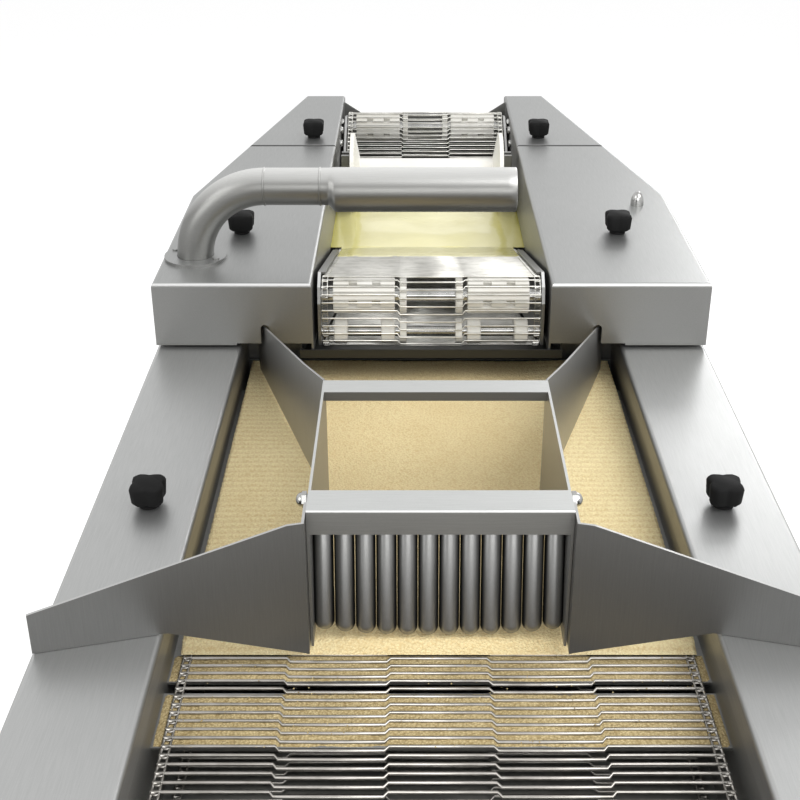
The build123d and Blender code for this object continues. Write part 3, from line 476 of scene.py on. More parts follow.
@dataclass(frozen=True)
class Batter:
    """Thin pale yellow batter, greener and darker towards the walls.

    Attributes:
        name: Name of the finish.
        pale: Its colour in the middle.
        deep: Its colour at the walls.
        line: Distance from the middle at which a darker line wanders along it.
    """

    name: str = "liquid batter"
    pale: Colour = (0.91, 0.86, 0.52)
    deep: Colour = (0.72, 0.66, 0.20)
    line: float = 0.118

    def make(self) -> bpy.types.Material:
        """Build the material.

        Returns:
            The material.
        """
        finish = Finish(self.name)
        side = finish.parts(finish.place)[0].absolute()
        cloud = finish.noise(14.0, 5.0, (1.0, 0.6, 1.0))
        foam = finish.noise(80.0, 4.0)
        wander = side + cloud * 0.05 - self.line
        line = 1.0 - (wander * wander).between(0.0, 0.00003)
        edge = (side.between(0.070, 0.125) + cloud * 0.9 - 0.45 + line * 0.45).limited()
        finish.set(Base_Color=finish.blend(edge, self.pale, self.deep), Roughness=(foam * 0.15 + 0.12),
                   Coat_Weight=0.5)
        finish.relief(cloud * 0.7 + foam * 0.15, 0.002)
        return finish.material


@dataclass(frozen=True)
class Lamp:
    """A soft studio lamp aimed at the machine.

    Attributes:
        name: Name of the lamp.
        place: Where it hangs.
        aim: The point that it is turned to.
        size: Its width and height.
        power: Its power in watts.
    """

    name: str
    place: Point
    aim: Point
    size: tuple[float, float]
    power: float

    def make(self) -> None:
        """Hang the lamp."""
        data = bpy.data.lights.new(self.name, "AREA")
        data.shape = "RECTANGLE"
        data.size, data.size_y = self.size
        data.energy = self.power
        lamp = bpy.data.objects.new(self.name, data)
        bpy.context.scene.collection.objects.link(lamp)
        lamp.location = self.place
        lamp.rotation_euler = (Vector(self.aim) - Vector(self.place)).to_track_quat("-Z", "Y").to_euler()


@dataclass
class Studio:
    """Pale room, soft light and the camera.

    Attributes:
        camera_place: Where the camera stands.
        camera_pitch: How far it looks down, in degrees.
        lens: Its focal length in mm.
        shift: Its shift to the side, as a share of the picture.
        floor_half: Half the floor's width.
        floor_tone: Brightness of the floor.
        floor_glow: Glow added to the floor where the camera sees it, and nowhere else.
        sky: The room's colours, from below to above.
        lamps: The lamps.
    """

    camera_place: Point = (-0.0205, -1.232, 1.4897)
    camera_pitch: float = 27.231
    lens: float = 58.5
    shift: float = -0.01375
    floor_half: float = 9.0
    floor_tone: float = 0.80
    floor_glow: float = 0.35
    sky: tuple[tuple[float, Colour], ...] = (
        (0.0, (0.30, 0.30, 0.31)), (0.45, (0.42, 0.42, 0.43)), (0.62, (0.60, 0.60, 0.60)),
        (0.85, (0.82, 0.82, 0.82)))
    lamps: tuple[Lamp, ...] = (
        Lamp("key lamp", (1.5, -1.3, 3.1), (0.0, -0.2, 0.9), (2.2, 2.2), 56.0),
        Lamp("fill lamp", (-2.2, -1.8, 2.2), (0.0, -0.2, 0.8), (1.8, 1.8), 24.0),
        Lamp("far lamp", (1.5, 2.9, 2.1), (0.25, 0.2, 0.95), (1.1, 1.0), 17.0),
        Lamp("front lamp", (0.4, -2.7, 1.8), (0.0, -0.1, 0.85), (2.0, 1.0), 16.0),
    )

    def build(self) -> None:
        """Make the floor, the world, the lamps and the camera."""
        self._floor()
        self._world()
        for lamp in self.lamps:
            lamp.make()
        data = bpy.data.cameras.new("camera")
        data.lens = self.lens
        data.sensor_width = 36.0
        data.shift_x = self.shift
        data.clip_end = 60.0
        camera = bpy.data.objects.new("camera", data)
        bpy.context.scene.collection.objects.link(camera)
        camera.location = self.camera_place
        camera.rotation_euler = (math.radians(90 - self.camera_pitch), 0.0, 0.0)
        bpy.context.scene.camera = camera
        bpy.context.scene.view_settings.view_transform = "Standard"

    def _floor(self) -> None:
        """Lay the pale floor."""
        half = self.floor_half
        mesh = bpy.data.meshes.new("floor")
        corners = [(-half, -half, 0), (half, -half, 0), (half, half, 0), (-half, half, 0)]
        mesh.from_pydata(corners, [], [(0, 1, 2, 3)])
        floor = bpy.data.objects.new("floor", mesh)
        bpy.context.scene.collection.objects.link(floor)
        finish = Finish("pale floor")
        finish.set(Base_Color=(self.floor_tone, self.floor_tone, self.floor_tone), Roughness=0.9)
        glow = finish.node("ShaderNodeEmission", {}, {"Color": WHITE, "Strength": self.floor_glow})
        both = finish.node("ShaderNodeAddShader", {}, {0: finish.shader.outputs[0], 1: glow.outputs[0]})
        rays = finish.node("ShaderNodeLightPath")
        pick = finish.node("ShaderNodeMixShader", {}, {
            0: rays.outputs["Is Camera Ray"], 1: finish.shader.outputs[0], 2: both.outputs[0]})
        finish.links.new(pick.outputs[0], finish.out.inputs["Surface"])
        mesh.materials.append(finish.material)

    def _world(self) -> None:
        """Fill the room with soft light, brighter above than below."""
        world = bpy.data.worlds.new("room")
        world.use_nodes = True
        bpy.context.scene.world = world
        tree = NodeTree(world.node_tree)
        place = tree.node("ShaderNodeTexCoord").outputs["Generated"]
        parts = tree.node("ShaderNodeSeparateXYZ", {}, {0: place})
        height = Value(tree, parts.outputs["Z"]) * 0.5 + 0.5
        ramp = tree.node("ShaderNodeValToRGB", {"stops": self.sky}, {0: height})
        room = tree.node("ShaderNodeBackground", {}, {"Color": ramp.outputs[0], "Strength": 1.0})
        white = tree.node("ShaderNodeBackground", {}, {"Color": WHITE, "Strength": 1.0})
        rays = tree.node("ShaderNodeLightPath").outputs
        seen = Value(tree, rays["Is Camera Ray"]).at_least(Value(tree, rays["Is Glossy Ray"]))
        seen = seen.at_least(Value(tree, rays["Is Transmission Ray"]))
        pick = tree.node("ShaderNodeMixShader", {}, {0: seen, 1: room.outputs[0], 2: white.outputs[0]})
        tree.node("ShaderNodeOutputWorld", {}, {"Surface": pick.outputs[0]})


def add_piece(name: str, mesh: bpy.types.Mesh, material: bpy.types.Material, body: str,
              replaced: Sequence[str]) -> None:
    """Put a finished piece in the scene, on its body.

    Args:
        name: Name of the piece.
        mesh: Its mesh, in metres in the machine's frame.
        material: Its finish.
        body: The body that it rides on.
        replaced: Solids that it stands for.
    """
    piece = bpy.data.objects.new(name, mesh)
    bpy.context.scene.collection.objects.link(piece)
    mesh.materials.append(material)
    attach(piece, body)
    if replaced:
        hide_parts(*replaced)
    log.info("%s: %d faces on %s", name, len(mesh.polygons), body)


def across_of(axis: Vector) -> tuple[Vector, Vector]:
    """Two directions square to an axis and to each other.

    Args:
        axis: The axis, of length 1.

    Returns:
        Both directions.
    """
    guide = UP if abs(axis.z) < 0.9 else Vector((0, 1, 0))
    first = axis.cross(guide).normalized()
    return first, axis.cross(first)


def circle(count: int, start: float = 0.0) -> list[float]:
    """Angles of points spread evenly round a circle, the first at a share of one step."""
    return [FULL_TURN * (k + start) / count for k in range(count)]


class Shape:
    """A mesh being put together from rings, lathe turns, sheets and boxes.

    Attributes:
        sharp_fold: Smallest angle, in radians, at an edge that is bevelled.
    """

    sharp_fold = 0.6

    def __init__(self, name: str) -> None:
        """Start an empty mesh."""
        self.name = name
        self.mesh = bmesh.new()

    def loft(self, rings: Sequence[Sequence[Vector]], caps: bool = True, closed: bool = False) -> None:
        """Join rings of points with faces.

        Args:
            rings: Rings with the same number of points each.
            caps: Whether both ends are closed.
            closed: Whether the last ring joins the first.
        """
        made = [[self.mesh.verts.new(p) for p in ring] for ring in rings]
        count = len(made[0])
        pairs = list(zip(made, made[1:]))
        if closed:
            pairs.append((made[-1], made[0]))
        for a, b in pairs:
            for i in range(count):
                self.mesh.faces.new((a[i], a[(i + 1) % count], b[(i + 1) % count], b[i]))
        if caps and not closed:
            self.mesh.faces.new(list(reversed(made[0])))
            self.mesh.faces.new(made[-1])

    def tube(self, points: Sequence[Vector], radius: float, sides: int, closed: bool = False) -> None:
        """A round wire along points.

        Args:
            points: Points of its middle line.
            radius: Radius of the wire.
            sides: Sides of its section.
            closed: Whether it runs back to its start.
        """
        count = len(points)
        rings = []
        for i, point in enumerate(points):
            before = points[i - 1] if i > 0 or closed else point
            after = points[(i + 1) % count] if i < count - 1 or closed else point
            u, v = across_of((after - before).normalized())
            rings.append([point + radius * (math.cos(a) * u - math.sin(a) * v) for a in circle(sides, 0.5)])
        self.loft(rings, not closed, closed)

    def lathe(self, centre: Point, axis: Vector, profile: Sequence[tuple[float, float]],
              sides: int) -> None:
        """Turn a profile about an axis.

        Args:
            centre: A point on the axis.
            axis: Direction of the axis.
            profile: Pairs of place along the axis and radius.
            sides: Number of sides.
        """
        axis = axis.normalized()
        u, v = across_of(axis)
        base = Vector(centre)
        self.loft([[base + along * axis + radius * (math.cos(a) * u + math.sin(a) * v)
                    for a in circle(sides)]
                   for along, radius in profile])

    def sheet(self, rows: Sequence[Sequence[Point]]) -> None:
        """Join rows of points, each with the same number of them, to one surface.

        Args:
            rows: The rows, from one edge to the other.
        """
        made = [[self.mesh.verts.new(point) for point in row] for row in rows]
        for near, far in zip(made, made[1:]):
            for i in range(len(near) - 1):
                self.mesh.faces.new((near[i], near[i + 1], far[i + 1], far[i]))

    def close_below(self, depth: float, level: float | None = None) -> None:
        """Give a sheet walls round its edge, and an underside.

        Args:
            depth: How far down the walls reach.
            level: Height that this is measured from, or none for the edge itself.
        """
        edge = [e for e in self.mesh.edges if e.is_boundary]
        down = bmesh.ops.extrude_edge_only(self.mesh, edges=edge)["geom"]
        for vert in (v for v in down if isinstance(v, bmesh.types.BMVert)):
            vert.co.z = (vert.co.z if level is None else level) - depth
        bmesh.ops.holes_fill(self.mesh, edges=[e for e in self.mesh.edges if e.is_boundary])

    def box(self, low: Point, high: Point, turn: Matrix | None = None) -> None:
        """A box between two corners.

        Args:
            low: Its lowest corner.
            high: Its highest corner.
            turn: Matrix that turns and moves it, or none.
        """
        made = bmesh.ops.create_cube(self.mesh, size=1.0)["verts"]
        size = [high[i] - low[i] for i in range(3)]
        middle = [(high[i] + low[i]) / 2 for i in range(3)]
        matrix = Matrix.Translation(middle) @ Matrix.Diagonal((*size, 1.0))
        if turn is not None:
            matrix = turn @ matrix
        bmesh.ops.transform(self.mesh, matrix=matrix, verts=made)

    def done(self, smooth: float, bevel: float = 0.0) -> bpy.types.Mesh:
        """Finish the mesh.

        Args:
            smooth: Largest angle, in degrees, that is shaded as one surface.
            bevel: Width of the bevel on sharp edges, in metres.

        Returns:
            The mesh.
        """
        bmesh.ops.recalc_face_normals(self.mesh, faces=self.mesh.faces)
        if bevel:
            sharp = [e for e in self.mesh.edges
                     if len(e.link_faces) == 2 and e.calc_face_angle(0.0) > self.sharp_fold]
            bmesh.ops.bevel(self.mesh, geom=sharp, offset=bevel, segments=2, affect="EDGES",
                            clamp_overlap=True)
        mesh = bpy.data.meshes.new(self.name)
        self.mesh.to_mesh(mesh)
        self.mesh.free()
        mesh.polygons.foreach_set("use_smooth", [True] * len(mesh.polygons))
        mesh.set_sharp_from_angle(angle=math.radians(smooth))
        return mesh


@dataclass(frozen=True)
class Stretch:
    """An arc or a straight of a belt's path, seen from the side.

    Attributes:
        length: Its length.
        y: Place of the arc's middle, or of the straight's start.
        z: Height of the same point.
        heading: Direction at its start, in radians.
        radius: Radius of the arc, below zero where it bends the other way, and 0 for a straight.
    """

    length: float
    y: float
    z: float
    heading: float
    radius: float = 0.0

    def at(self, along: float) -> Station:
        """Place and direction at a distance from its start.

        Args:
            along: The distance.

        Returns:
            The place, as (y, z, angle).
        """
        if self.radius:
            angle = self.heading + along / self.radius
            return self.y + self.radius * math.sin(angle), self.z - self.radius * math.cos(angle), angle
        across, up = along * math.cos(self.heading), along * math.sin(self.heading)
        return self.y + across, self.z + up, self.heading


@dataclass
class WireBelt:
    """A belt of cross wires that step at their lanes, with linked loops along both edges.

    Attributes:
        name: Name of the piece.
        wheels: The rollers that it runs round, as (y, z, radius, side). Below the drum its side is -1.
        half: Half its width.
        lanes: Places across the belt where its wires step.
        wire: Radius of a wire.
        pitch: Distance from wire to wire.
        shift: How far the outer lanes lie along the belt. The next ones lie as far short of the next wire.
        slant: Half the width of a step.
        loop_lift: How far the loops lie outside the wires.
        loop_reach: Half the length of a loop, as a share of the pitch.
        loop_wire: Thickness of a loop, as a share of a wire's.
        loop_inset: How far the loops' middle lies inside the belt's edge.
        loop_half: Half the width of a loop.
    """

    name: str
    wheels: Sequence[tuple[float, float, float, int]]
    half: float
    lanes: Sequence[float]
    wire: float
    pitch: float = WIRE_PITCH
    shift: float = 0.0021
    slant: float = 0.00147
    loop_lift: float = 0.0002
    loop_reach: float = 0.62
    loop_wire: float = 0.8
    loop_inset: float = 0.0034
    loop_half: float = 0.0026

    def headings(self) -> list[float]:
        """Direction in which the belt leaves each roller.

        Returns:
            The directions in radians, one for each roller.
        """
        found = []
        for i, (y1, z1, r1, s1) in enumerate(self.wheels):
            y2, z2, r2, s2 = self.wheels[(i + 1) % len(self.wheels)]
            span = math.hypot(y2 - y1, z2 - z1)
            found.append(math.atan2(z2 - z1, y2 - y1) - math.asin((s2 * r2 - s1 * r1) / span))
        return found

    def path(self) -> list[Stretch]:
        """The closed path: an arc round each roller and a straight to the next.

        Returns:
            The stretches in order.
        """
        angles = self.headings()
        found = []
        for i, (y1, z1, r1, s1) in enumerate(self.wheels):
            y2, z2, r2, s2 = self.wheels[(i + 1) % len(self.wheels)]
            into, out = angles[i - 1], angles[i]
            turn = (s1 * (out - into)) % FULL_TURN
            found.append(Stretch(r1 * turn, y1, z1, into, s1 * r1))
            start = (y1 + s1 * r1 * math.sin(out), z1 - s1 * r1 * math.cos(out))
            end = (y2 + s2 * r2 * math.sin(out), z2 - s2 * r2 * math.cos(out))
            found.append(Stretch(math.dist(start, end), *start, out))
        return found

    def stations(self) -> list[Station]:
        """Place and direction of each wire along the path.

        Returns:
            The places, as (y, z, angle).
        """
        path = self.path()
        total = sum(stretch.length for stretch in path)
        steps = round(total / self.pitch)
        found = []
        for step in range(steps):
            along = step * total / steps
            for stretch in path:
                if along <= stretch.length:
                    break
                along -= stretch.length
            found.append(stretch.at(along))
        return found

    def wire_points(self, station: Station) -> list[Vector]:
        """Middle line of one wire.

        Args:
            station: Place of the wire.

        Returns:
            Its points from left to right.
        """
        y, z, angle = station
        along = Vector((0, math.cos(angle), math.sin(angle)))
        base = Vector((0, y, z))
        ends = [-self.half, *self.lanes, self.half]
        last = len(ends) - 2
        points = []
        for i in range(last + 1):
            offset = self.shift if i % 2 == 0 else self.pitch - self.shift
            left = ends[i] + (self.slant if i > 0 else 0.0)
            right = ends[i + 1] - (self.slant if i < last else 0.0)
            points += [base + x * ACROSS + offset * along for x in (left, right)]
        return points

    def link(self, shape: Shape, station: Station, x: float) -> None:
        """A flat loop that joins one wire to the next.

        Args:
            shape: The mesh that takes the loop.
            station: Place of the wire.
            x: Middle of the loop across the belt.
        """
        y, z, angle = station
        along = Vector((0, math.cos(angle), math.sin(angle))) * self.pitch * self.loop_reach
        out = Vector((0, math.sin(angle), -math.cos(angle)))
        base = Vector((x, y, z)) + out * self.loop_lift
        corners = ((-1, -1), (1, -1), (1, 1), (-1, 1))
        points = [base + side * self.loop_half * ACROSS + end * along for side, end in corners]
        shape.tube(points, self.wire * self.loop_wire, 6, closed=True)

    def build(self, material: bpy.types.Material, node: str) -> None:
        """Make the belt.

        Args:
            material: Finish of the wires.
            node: The solid that it stands for.
        """
        shape = Shape(self.name)
        for station in self.stations():
            shape.tube(self.wire_points(station), self.wire, 8)
            for side in (-1, 1):
                self.link(shape, station, side * (self.half - self.loop_inset))
        add_piece(self.name, shape.done(60), material, "machine", (node,))


def uneven(x: float, y: float, layer: float) -> float:
    """Smooth noise about zero, one cell per unit of x and y. Each layer has its own."""
    return noise.noise(Vector((x, y, layer)))


def spread(low: float, high: float, steps: int) -> list[float]:
    """Places from low to high in even steps."""
    return [low + (high - low) * i / steps for i in range(steps + 1)]


@dataclass
class CrumbBed:
    """The crumbs: a raked layer, and loose grains between the wires past the fingers.

    Attributes:
        half: Half the layer's width.
        front: Its front edge.
        rear: Its rear edge.
        top: Height of its surface.
        base: Height of its underside.
        step: Size of its cells.
        ragged_rows: Rows of cells over which its front edge thins out.
        rows_from: Distance from the middle past which it lies in rows.
        row_height: Height of these rows.
        swell: Height of its broad bumps.
        grit: Height of its fine bumps.
        sink: How far its mean level lies below the top.
        plate: Height of the bed plates.
        strips: Start and end of each strip of loose crumbs.
        strip_half: Half their width.
        strip_columns: Cells across them.
        heap: Mean height of the loose crumbs, height of their broad bumps and of their fine ones.
        heap_rim: Height at their edges, as a share.
        grains: Number of single grains.
        grain_half: Half the width over which they lie.
        grain_reach: Farthest and nearest grain, in mm behind the batter unit's face.
        grain_level: Height at which they lie.
        grain_sizes: Smallest and largest radius of a grain.
        seed: Start of the random numbers.
    """

    half: float = 0.1905
    front: float = behind(-437)
    rear: float = behind(58)
    top: float = below(111)
    base: float = below(116.5)
    step: float = 0.003
    ragged_rows: int = 4
    rows_from: float = 0.100
    row_height: float = 0.0007
    swell: float = 0.0012
    grit: float = 0.0004
    sink: float = 0.0010
    plate: float = below(119.8)
    strips: tuple[tuple[float, float], ...] = (
        (behind(-464.5), behind(-434)), (behind(-532.5), behind(-477.5)))
    strip_half: float = 0.1955
    strip_columns: int = 150
    heap: tuple[float, float, float] = (0.0012, 0.0006, 0.0004)
    heap_rim: float = 0.2
    grains: int = 260
    grain_half: float = 0.188
    grain_reach: tuple[float, float] = (-535, -439)
    grain_level: float = below(117.1)
    grain_sizes: tuple[float, float] = (0.0003, 0.0007)
    seed: int = 7

    def height(self, x: float, y: float) -> float:
        """Height of the layer's surface over its top.

        Args:
            x: Place across the machine.
            y: Place along it.

        Returns:
            The height.
        """
        broad = uneven(x * 14, y * 14, 0.3) * self.swell
        fine = uneven(x * 260, y * 260, 4.1) * self.grit
        rows = 0.0
        if abs(x) > self.rows_from:
            rows = self.row_height * math.sin(FULL_TURN * y / WIRE_PITCH)
        return broad + fine + rows - self.sink

    def build(self, material: bpy.types.Material, strewn: bpy.types.Material) -> None:
        """Make the layer and the grains in front of it.

        Args:
            material: Finish of the raked layer.
            strewn: Finish of the loose grains.
        """
        columns = spread(-self.half, self.half, int(2 * self.half / self.step))
        lines = spread(self.front, self.rear, int((self.rear - self.front) / self.step))
        rows = []
        for j, y in enumerate(lines):
            row = []
            for x in columns:
                thick = self.top + self.height(x, y) - self.base
                if j < self.ragged_rows:
                    ragged = 0.5 + 0.5 * uneven(x * 90, 2.0, 0.0)
                    thick *= j / self.ragged_rows * (0.4 + 0.6 * ragged)
                row.append((x, y, self.base + thick))
            rows.append(row)
        shape = Shape("crumb bed")
        shape.sheet(rows)
        shape.close_below(0.0, self.base)
        add_piece("crumb_bed", shape.done(180), material, "machine", ("crumb_layer",))
        self._strewn(strewn)

    def _strewn(self, material: bpy.types.Material) -> None:
        """Crumbs that lie on the bed plates between the wires past the fingers.

        Args:
            material: Finish of the loose grains.
        """
        shape = Shape("strewn crumbs")
        mean, broad, fine = self.heap
        columns = spread(-self.strip_half, self.strip_half, self.strip_columns)
        for start, end in self.strips:
            lines = spread(start, end, max(6, int((end - start) / self.step)))
            rows = []
            for y in lines:
                row = []
                for x in columns:
                    heap = mean + broad * uneven(x * 60, y * 60, 1.0) + fine * uneven(x * 400, y * 400, 5.0)
                    rim = y in (lines[0], lines[-1]) or x in (columns[0], columns[-1])
                    row.append((x, y, self.plate + heap * (self.heap_rim if rim else 1.0)))
                rows.append(row)
            shape.sheet(rows)
        chance = random.Random(self.seed)
        for _ in range(self.grains):
            x = chance.uniform(-self.grain_half, self.grain_half)
            y = behind(chance.uniform(*self.grain_reach))
            size = chance.uniform(*self.grain_sizes)
            made = bmesh.ops.create_icosphere(shape.mesh, subdivisions=1, radius=size)["verts"]
            spot = Matrix.Translation((x, y, self.grain_level + size * 0.6))
            bmesh.ops.transform(shape.mesh, matrix=spot, verts=made)
        add_piece("strewn_crumbs", shape.done(60), material, "machine", ())


@dataclass
class BatterBath:
    """The surface of the batter in the tank, and the film of it on the foot of the ramp.

    Attributes:
        half: Half the bath's width.
        start: Its front edge.
        end: Its rear edge.
        level: Height of its surface.
        across: Cells across it.
        along: Cells along it.
        swell: Height of its ripples.
        sink: How far its mean level lies below that height.
        rim: Width at the walls over which it rises, as a share of the half width.
        rim_rise: How far it rises there.
        depth: Depth of the bath's piece.
        film_half: Half the film's width.
        film_start: Where the film leaves the bath.
        film_end: Where it ends on the ramp.
        film_ragged: How far this end wanders, in broad tongues and in narrow ones.
        film_thick: Thickness of the film, and that of its end.
        film_lumps: Height of its lumps.
        film_depth: Depth of its piece, which is also how far it starts below the level.
        film_across: Cells across the film.
        film_along: Cells along it.
        ramp_foot: Where the ramp meets the batter's level.
        ramp_slope: Rise of the ramp along Y.
    """

    half: float = 0.1318
    start: float = behind(332)
    end: float = behind(466)
    level: float = below(84)
    across: int = 88
    along: int = 50
    swell: float = 0.0009
    sink: float = 0.0008
    rim: float = 0.06
    rim_rise: float = 0.0014
    depth: float = 0.002
    film_half: float = 0.1075
    film_start: float = 0.307
    film_end: float = 0.212
    film_ragged: tuple[float, float] = (0.006, 0.003)
    film_thick: tuple[float, float] = (0.0014, 0.0003)
    film_lumps: float = 0.0004
    film_depth: float = 0.0009
    film_across: int = 60
    film_along: int = 24
    ramp_foot: float = 0.2860
    ramp_slope: float = -0.2808

    def build(self, material: bpy.types.Material) -> None:
        """Make the bath and the film.

        Args:
            material: Finish of the batter.
        """
        rows = []
        for y in spread(self.start, self.end, self.along):
            row = []
            for x in spread(-self.half, self.half, self.across):
                swell = uneven(x * 22, y * 16, 0.0) * self.swell
                rim = self.rim_rise * max(0.0, abs(x) / self.half - (1.0 - self.rim)) / self.rim
                row.append((x, y, self.level - self.sink + swell + rim))
            rows.append(row)
        shape = Shape("batter bath")
        shape.sheet(rows)
        shape.close_below(self.depth, self.level)
        add_piece("batter_bath", shape.done(60), material, "machine", ("batter_pool",))
        self._film(material)

    def _film(self, material: bpy.types.Material) -> None:
        """Batter that the belt drags along on the foot of the ramp.

        Args:
            material: Finish of the batter.
        """
        broad, narrow = self.film_ragged
        rows = []
        for share in spread(0.0, 1.0, self.film_along):
            thick = self.film_thick[0] if share < 1.0 else self.film_thick[1]
            row = []
            for x in spread(-self.film_half, self.film_half, self.film_across):
                end = self.film_end + broad * uneven(x * 40, 3.0, 0.0) + narrow * uneven(x * 160, 7.0, 0.0)
                y = self.film_start + (end - self.film_start) * share
                ramp = self.level + self.ramp_slope * (y - self.ramp_foot)
                lump = self.film_lumps * uneven(x * 50, y * 50, 2.0)
                row.append((x, y, max(self.level - self.film_depth, ramp + thick + lump)))
            rows.append(row)
        shape = Shape("batter film")
        shape.sheet(rows)
        shape.close_below(self.film_depth)
        add_piece("batter_film", shape.done(60), material, "machine", ())


@dataclass(frozen=True)
class Axle:
    """A roller of the batter belt, seen from the side.

    Attributes:
        y: Place of its axis.
        z: Height of its axis.
        radius: Its radius.
        shaft: Radius of its shaft.
        turn: Turn of its ribs at rest, in radians.
    """

    y: float
    z: float
    radius: float
    shaft: float
    turn: float = 0.0


@dataclass
class Sprockets:
    """Turned and slotted plastic rollers of the batter belt, on their steel shafts.

    Attributes:
        nose: The nose roller, whose radius is that over its ribs.
        back: The return roller below it.
        infeed: The infeed roller, whose radius is that over its ribs.
        lane: Place of the wires' steps, beside which the narrow sprockets run.
        edge: Inner end of the wide rollers.
        outer: Their outer end.
        shaft_end: Reach of the shafts from the middle.
        driven_end: Reach of the infeed shaft on the right, into its motor.
        teeth: Ribs round a roller.
        groove: Depth of the grooves between the ribs.
        crown: Reach of a rib's middle, against that of its edges.
        bevel: Bevel of the rollers' ends.
        narrow: Distance of the narrow sprockets' two ends from the wires' steps.
        slots: Shares of a wide roller's width between which some ribs are cut away.
        slot_depth: Depth of these cuts.
        slot_ribs: The ribs that are cut.
        slot_wall: Width over which a slot's wall slants.
        wheel: Width of a return wheel.
        wheel_bevel: Bevel of its ends.
        middle_wheel: Place of the narrow return wheels.
    """

    nose: Axle = Axle(*NOSE_AXIS, NOSE_RADIUS - RIB_DROP, 0.007, math.radians(-4.2))
    back: Axle = Axle(*RETURN_AXIS, RETURN_RADIUS - RIB_DROP, 0.006)
    infeed: Axle = Axle(*INFEED_AXIS, INFEED_RADIUS - RIB_DROP, 0.007, math.radians(13.9))
    lane: float = 0.033
    edge: float = 0.037
    outer: float = 0.0995
    shaft_end: float = 0.1165
    driven_end: float = 0.161
    teeth: int = 14
    groove: float = 0.0030
    crown: float = 1.004
    bevel: float = 0.0006
    narrow: tuple[float, float] = (0.001, 0.008)
    slots: tuple[tuple[float, float], ...] = ((0.25, 0.39), (0.63, 0.77))
    slot_depth: float = 0.0075
    slot_ribs: tuple[int, ...] = (1, 4, 7, 10, 13)
    slot_wall: float = 0.0001
    wheel: float = 0.014
    wheel_bevel: float = 0.001
    middle_wheel: float = 0.025

    def ring(self, axle: Axle, x: float, inset: float = 0.0, ribs: Sequence[int] = ()) -> list[Vector]:
        """One ring of points of a roller, its ribs between the wires.

        Args:
            axle: The roller.
            x: Place of the ring across the machine.
            inset: How far it lies inside the roller's surface.
            ribs: Ribs that are cut away in this ring.

        Returns:
            The points.
        """
        points = []
        radius = axle.radius - inset
        low = radius - self.groove
        for tooth in range(self.teeth):
            cut = self.slot_depth if tooth in ribs else 0.0
            flank, crown = radius - cut, radius * self.crown - cut
            for share, reach in ((0.16, flank), (0.30, crown), (0.70, crown), (0.84, flank),
                                 (0.88, low), (1.12, low)):
                angle = FULL_TURN * (tooth + share) / self.teeth + axle.turn
                points.append(Vector((x, axle.y + reach * math.cos(angle),
                                      axle.z + reach * math.sin(angle))))
        return points

    def roller(self, shape: Shape, axle: Axle, start: float, end: float,
               slots: Sequence[tuple[float, float]] = ()) -> None:
        """A grooved roller with slots cut in some of its ribs.

        Args:
            shape: The mesh that takes the roller.
            axle: Its axis and radius.
            start: Its left end.
            end: Its right end.
            slots: Shares of its width between which the ribs are cut away.
        """
        wall = self.slot_wall
        rings = [self.ring(axle, start, self.bevel), self.ring(axle, start + self.bevel)]
        for first, last in slots:
            left, right = start + (end - start) * first, start + (end - start) * last
            rings.append(self.ring(axle, left))
            rings.append(self.ring(axle, left + wall, 0.0, self.slot_ribs))
            rings.append(self.ring(axle, right - wall, 0.0, self.slot_ribs))
            rings.append(self.ring(axle, right))
        rings.append(self.ring(axle, end - self.bevel))
        rings.append(self.ring(axle, end, self.bevel))
        shape.loft(rings)

    def toothed(self, name: str, axle: Axle) -> Shape:
        """Two wide slotted rollers, and two narrow ones in the middle lane.

        Args:
            name: Name of the mesh.
            axle: Their axis and radius.

        Returns:
            The rollers.
        """
        shape = Shape(name)
        self.roller(shape, axle, -self.outer, -self.edge, self.slots)
        self.roller(shape, axle, self.edge, self.outer, self.slots)
        near, far = (self.lane - distance for distance in self.narrow)
        self.roller(shape, axle, -near, -far)
        self.roller(shape, axle, far, near)
        return shape

    def wheels(self, axle: Axle) -> Shape:
        """The smooth wheels of the return roller: two wide ones on each side and a narrow one inside them.

        Args:
            axle: Their axis and radius.

        Returns:
            The wheels.
        """
        shape = Shape("return wheels")
        radius, bevel = axle.radius, self.wheel_bevel
        profile = [(0.0, radius - bevel), (bevel, radius), (self.wheel - bevel, radius),
                   (self.wheel, radius - bevel)]
        narrow = [(along * 0.5, reach) for along, reach in profile]
        for side in (-1, 1):
            for x, section in ((self.edge, profile), (self.outer - self.wheel, profile),
                               (self.middle_wheel, narrow)):
                shape.lathe((side * x, axle.y, axle.z), side * ACROSS, section, 40)
        return shape

    def shaft(self, name: str, axle: Axle, steel: bpy.types.Material, body: str, right: float) -> None:
        """The steel shaft of a roller.

        Args:
            name: Name of the piece.
            axle: Its axis and radius.
            steel: Its finish.
            body: The body that it rides on.
            right: Its reach to the right.
        """
        bevel, radius = self.bevel, axle.shaft
        shape = Shape(name)
        shape.lathe((0, axle.y, axle.z), ACROSS, [
            (bevel - self.shaft_end, radius - bevel), (2 * bevel - self.shaft_end, radius),
            (right - 2 * bevel, radius), (right - bevel, radius - bevel)], 32)
        add_piece(name, shape.done(30), steel, body, ())

    def build(self, plastic: bpy.types.Material, steel: bpy.types.Material) -> None:
        """Make the nose, return and infeed rollers.

        Args:
            plastic: Finish of the rollers.
            steel: Finish of their shafts.
        """
        nose = self.toothed("nose sprockets", self.nose)
        infeed = self.toothed("infeed sprockets", self.infeed)
        rollers = (("nose", "sprockets", self.nose, nose, self.shaft_end),
                   ("return", "wheels", self.back, self.wheels(self.back), self.shaft_end),
                   ("infeed", "sprockets", self.infeed, infeed, self.driven_end))
        for word, kind, axle, shape, right in rollers:
            node = word + "_roller"
            add_piece(word + "_" + kind, shape.done(40), plastic, node + "_body", (node,))
            self.shaft(word + "_shaft", axle, steel, node + "_body", right)


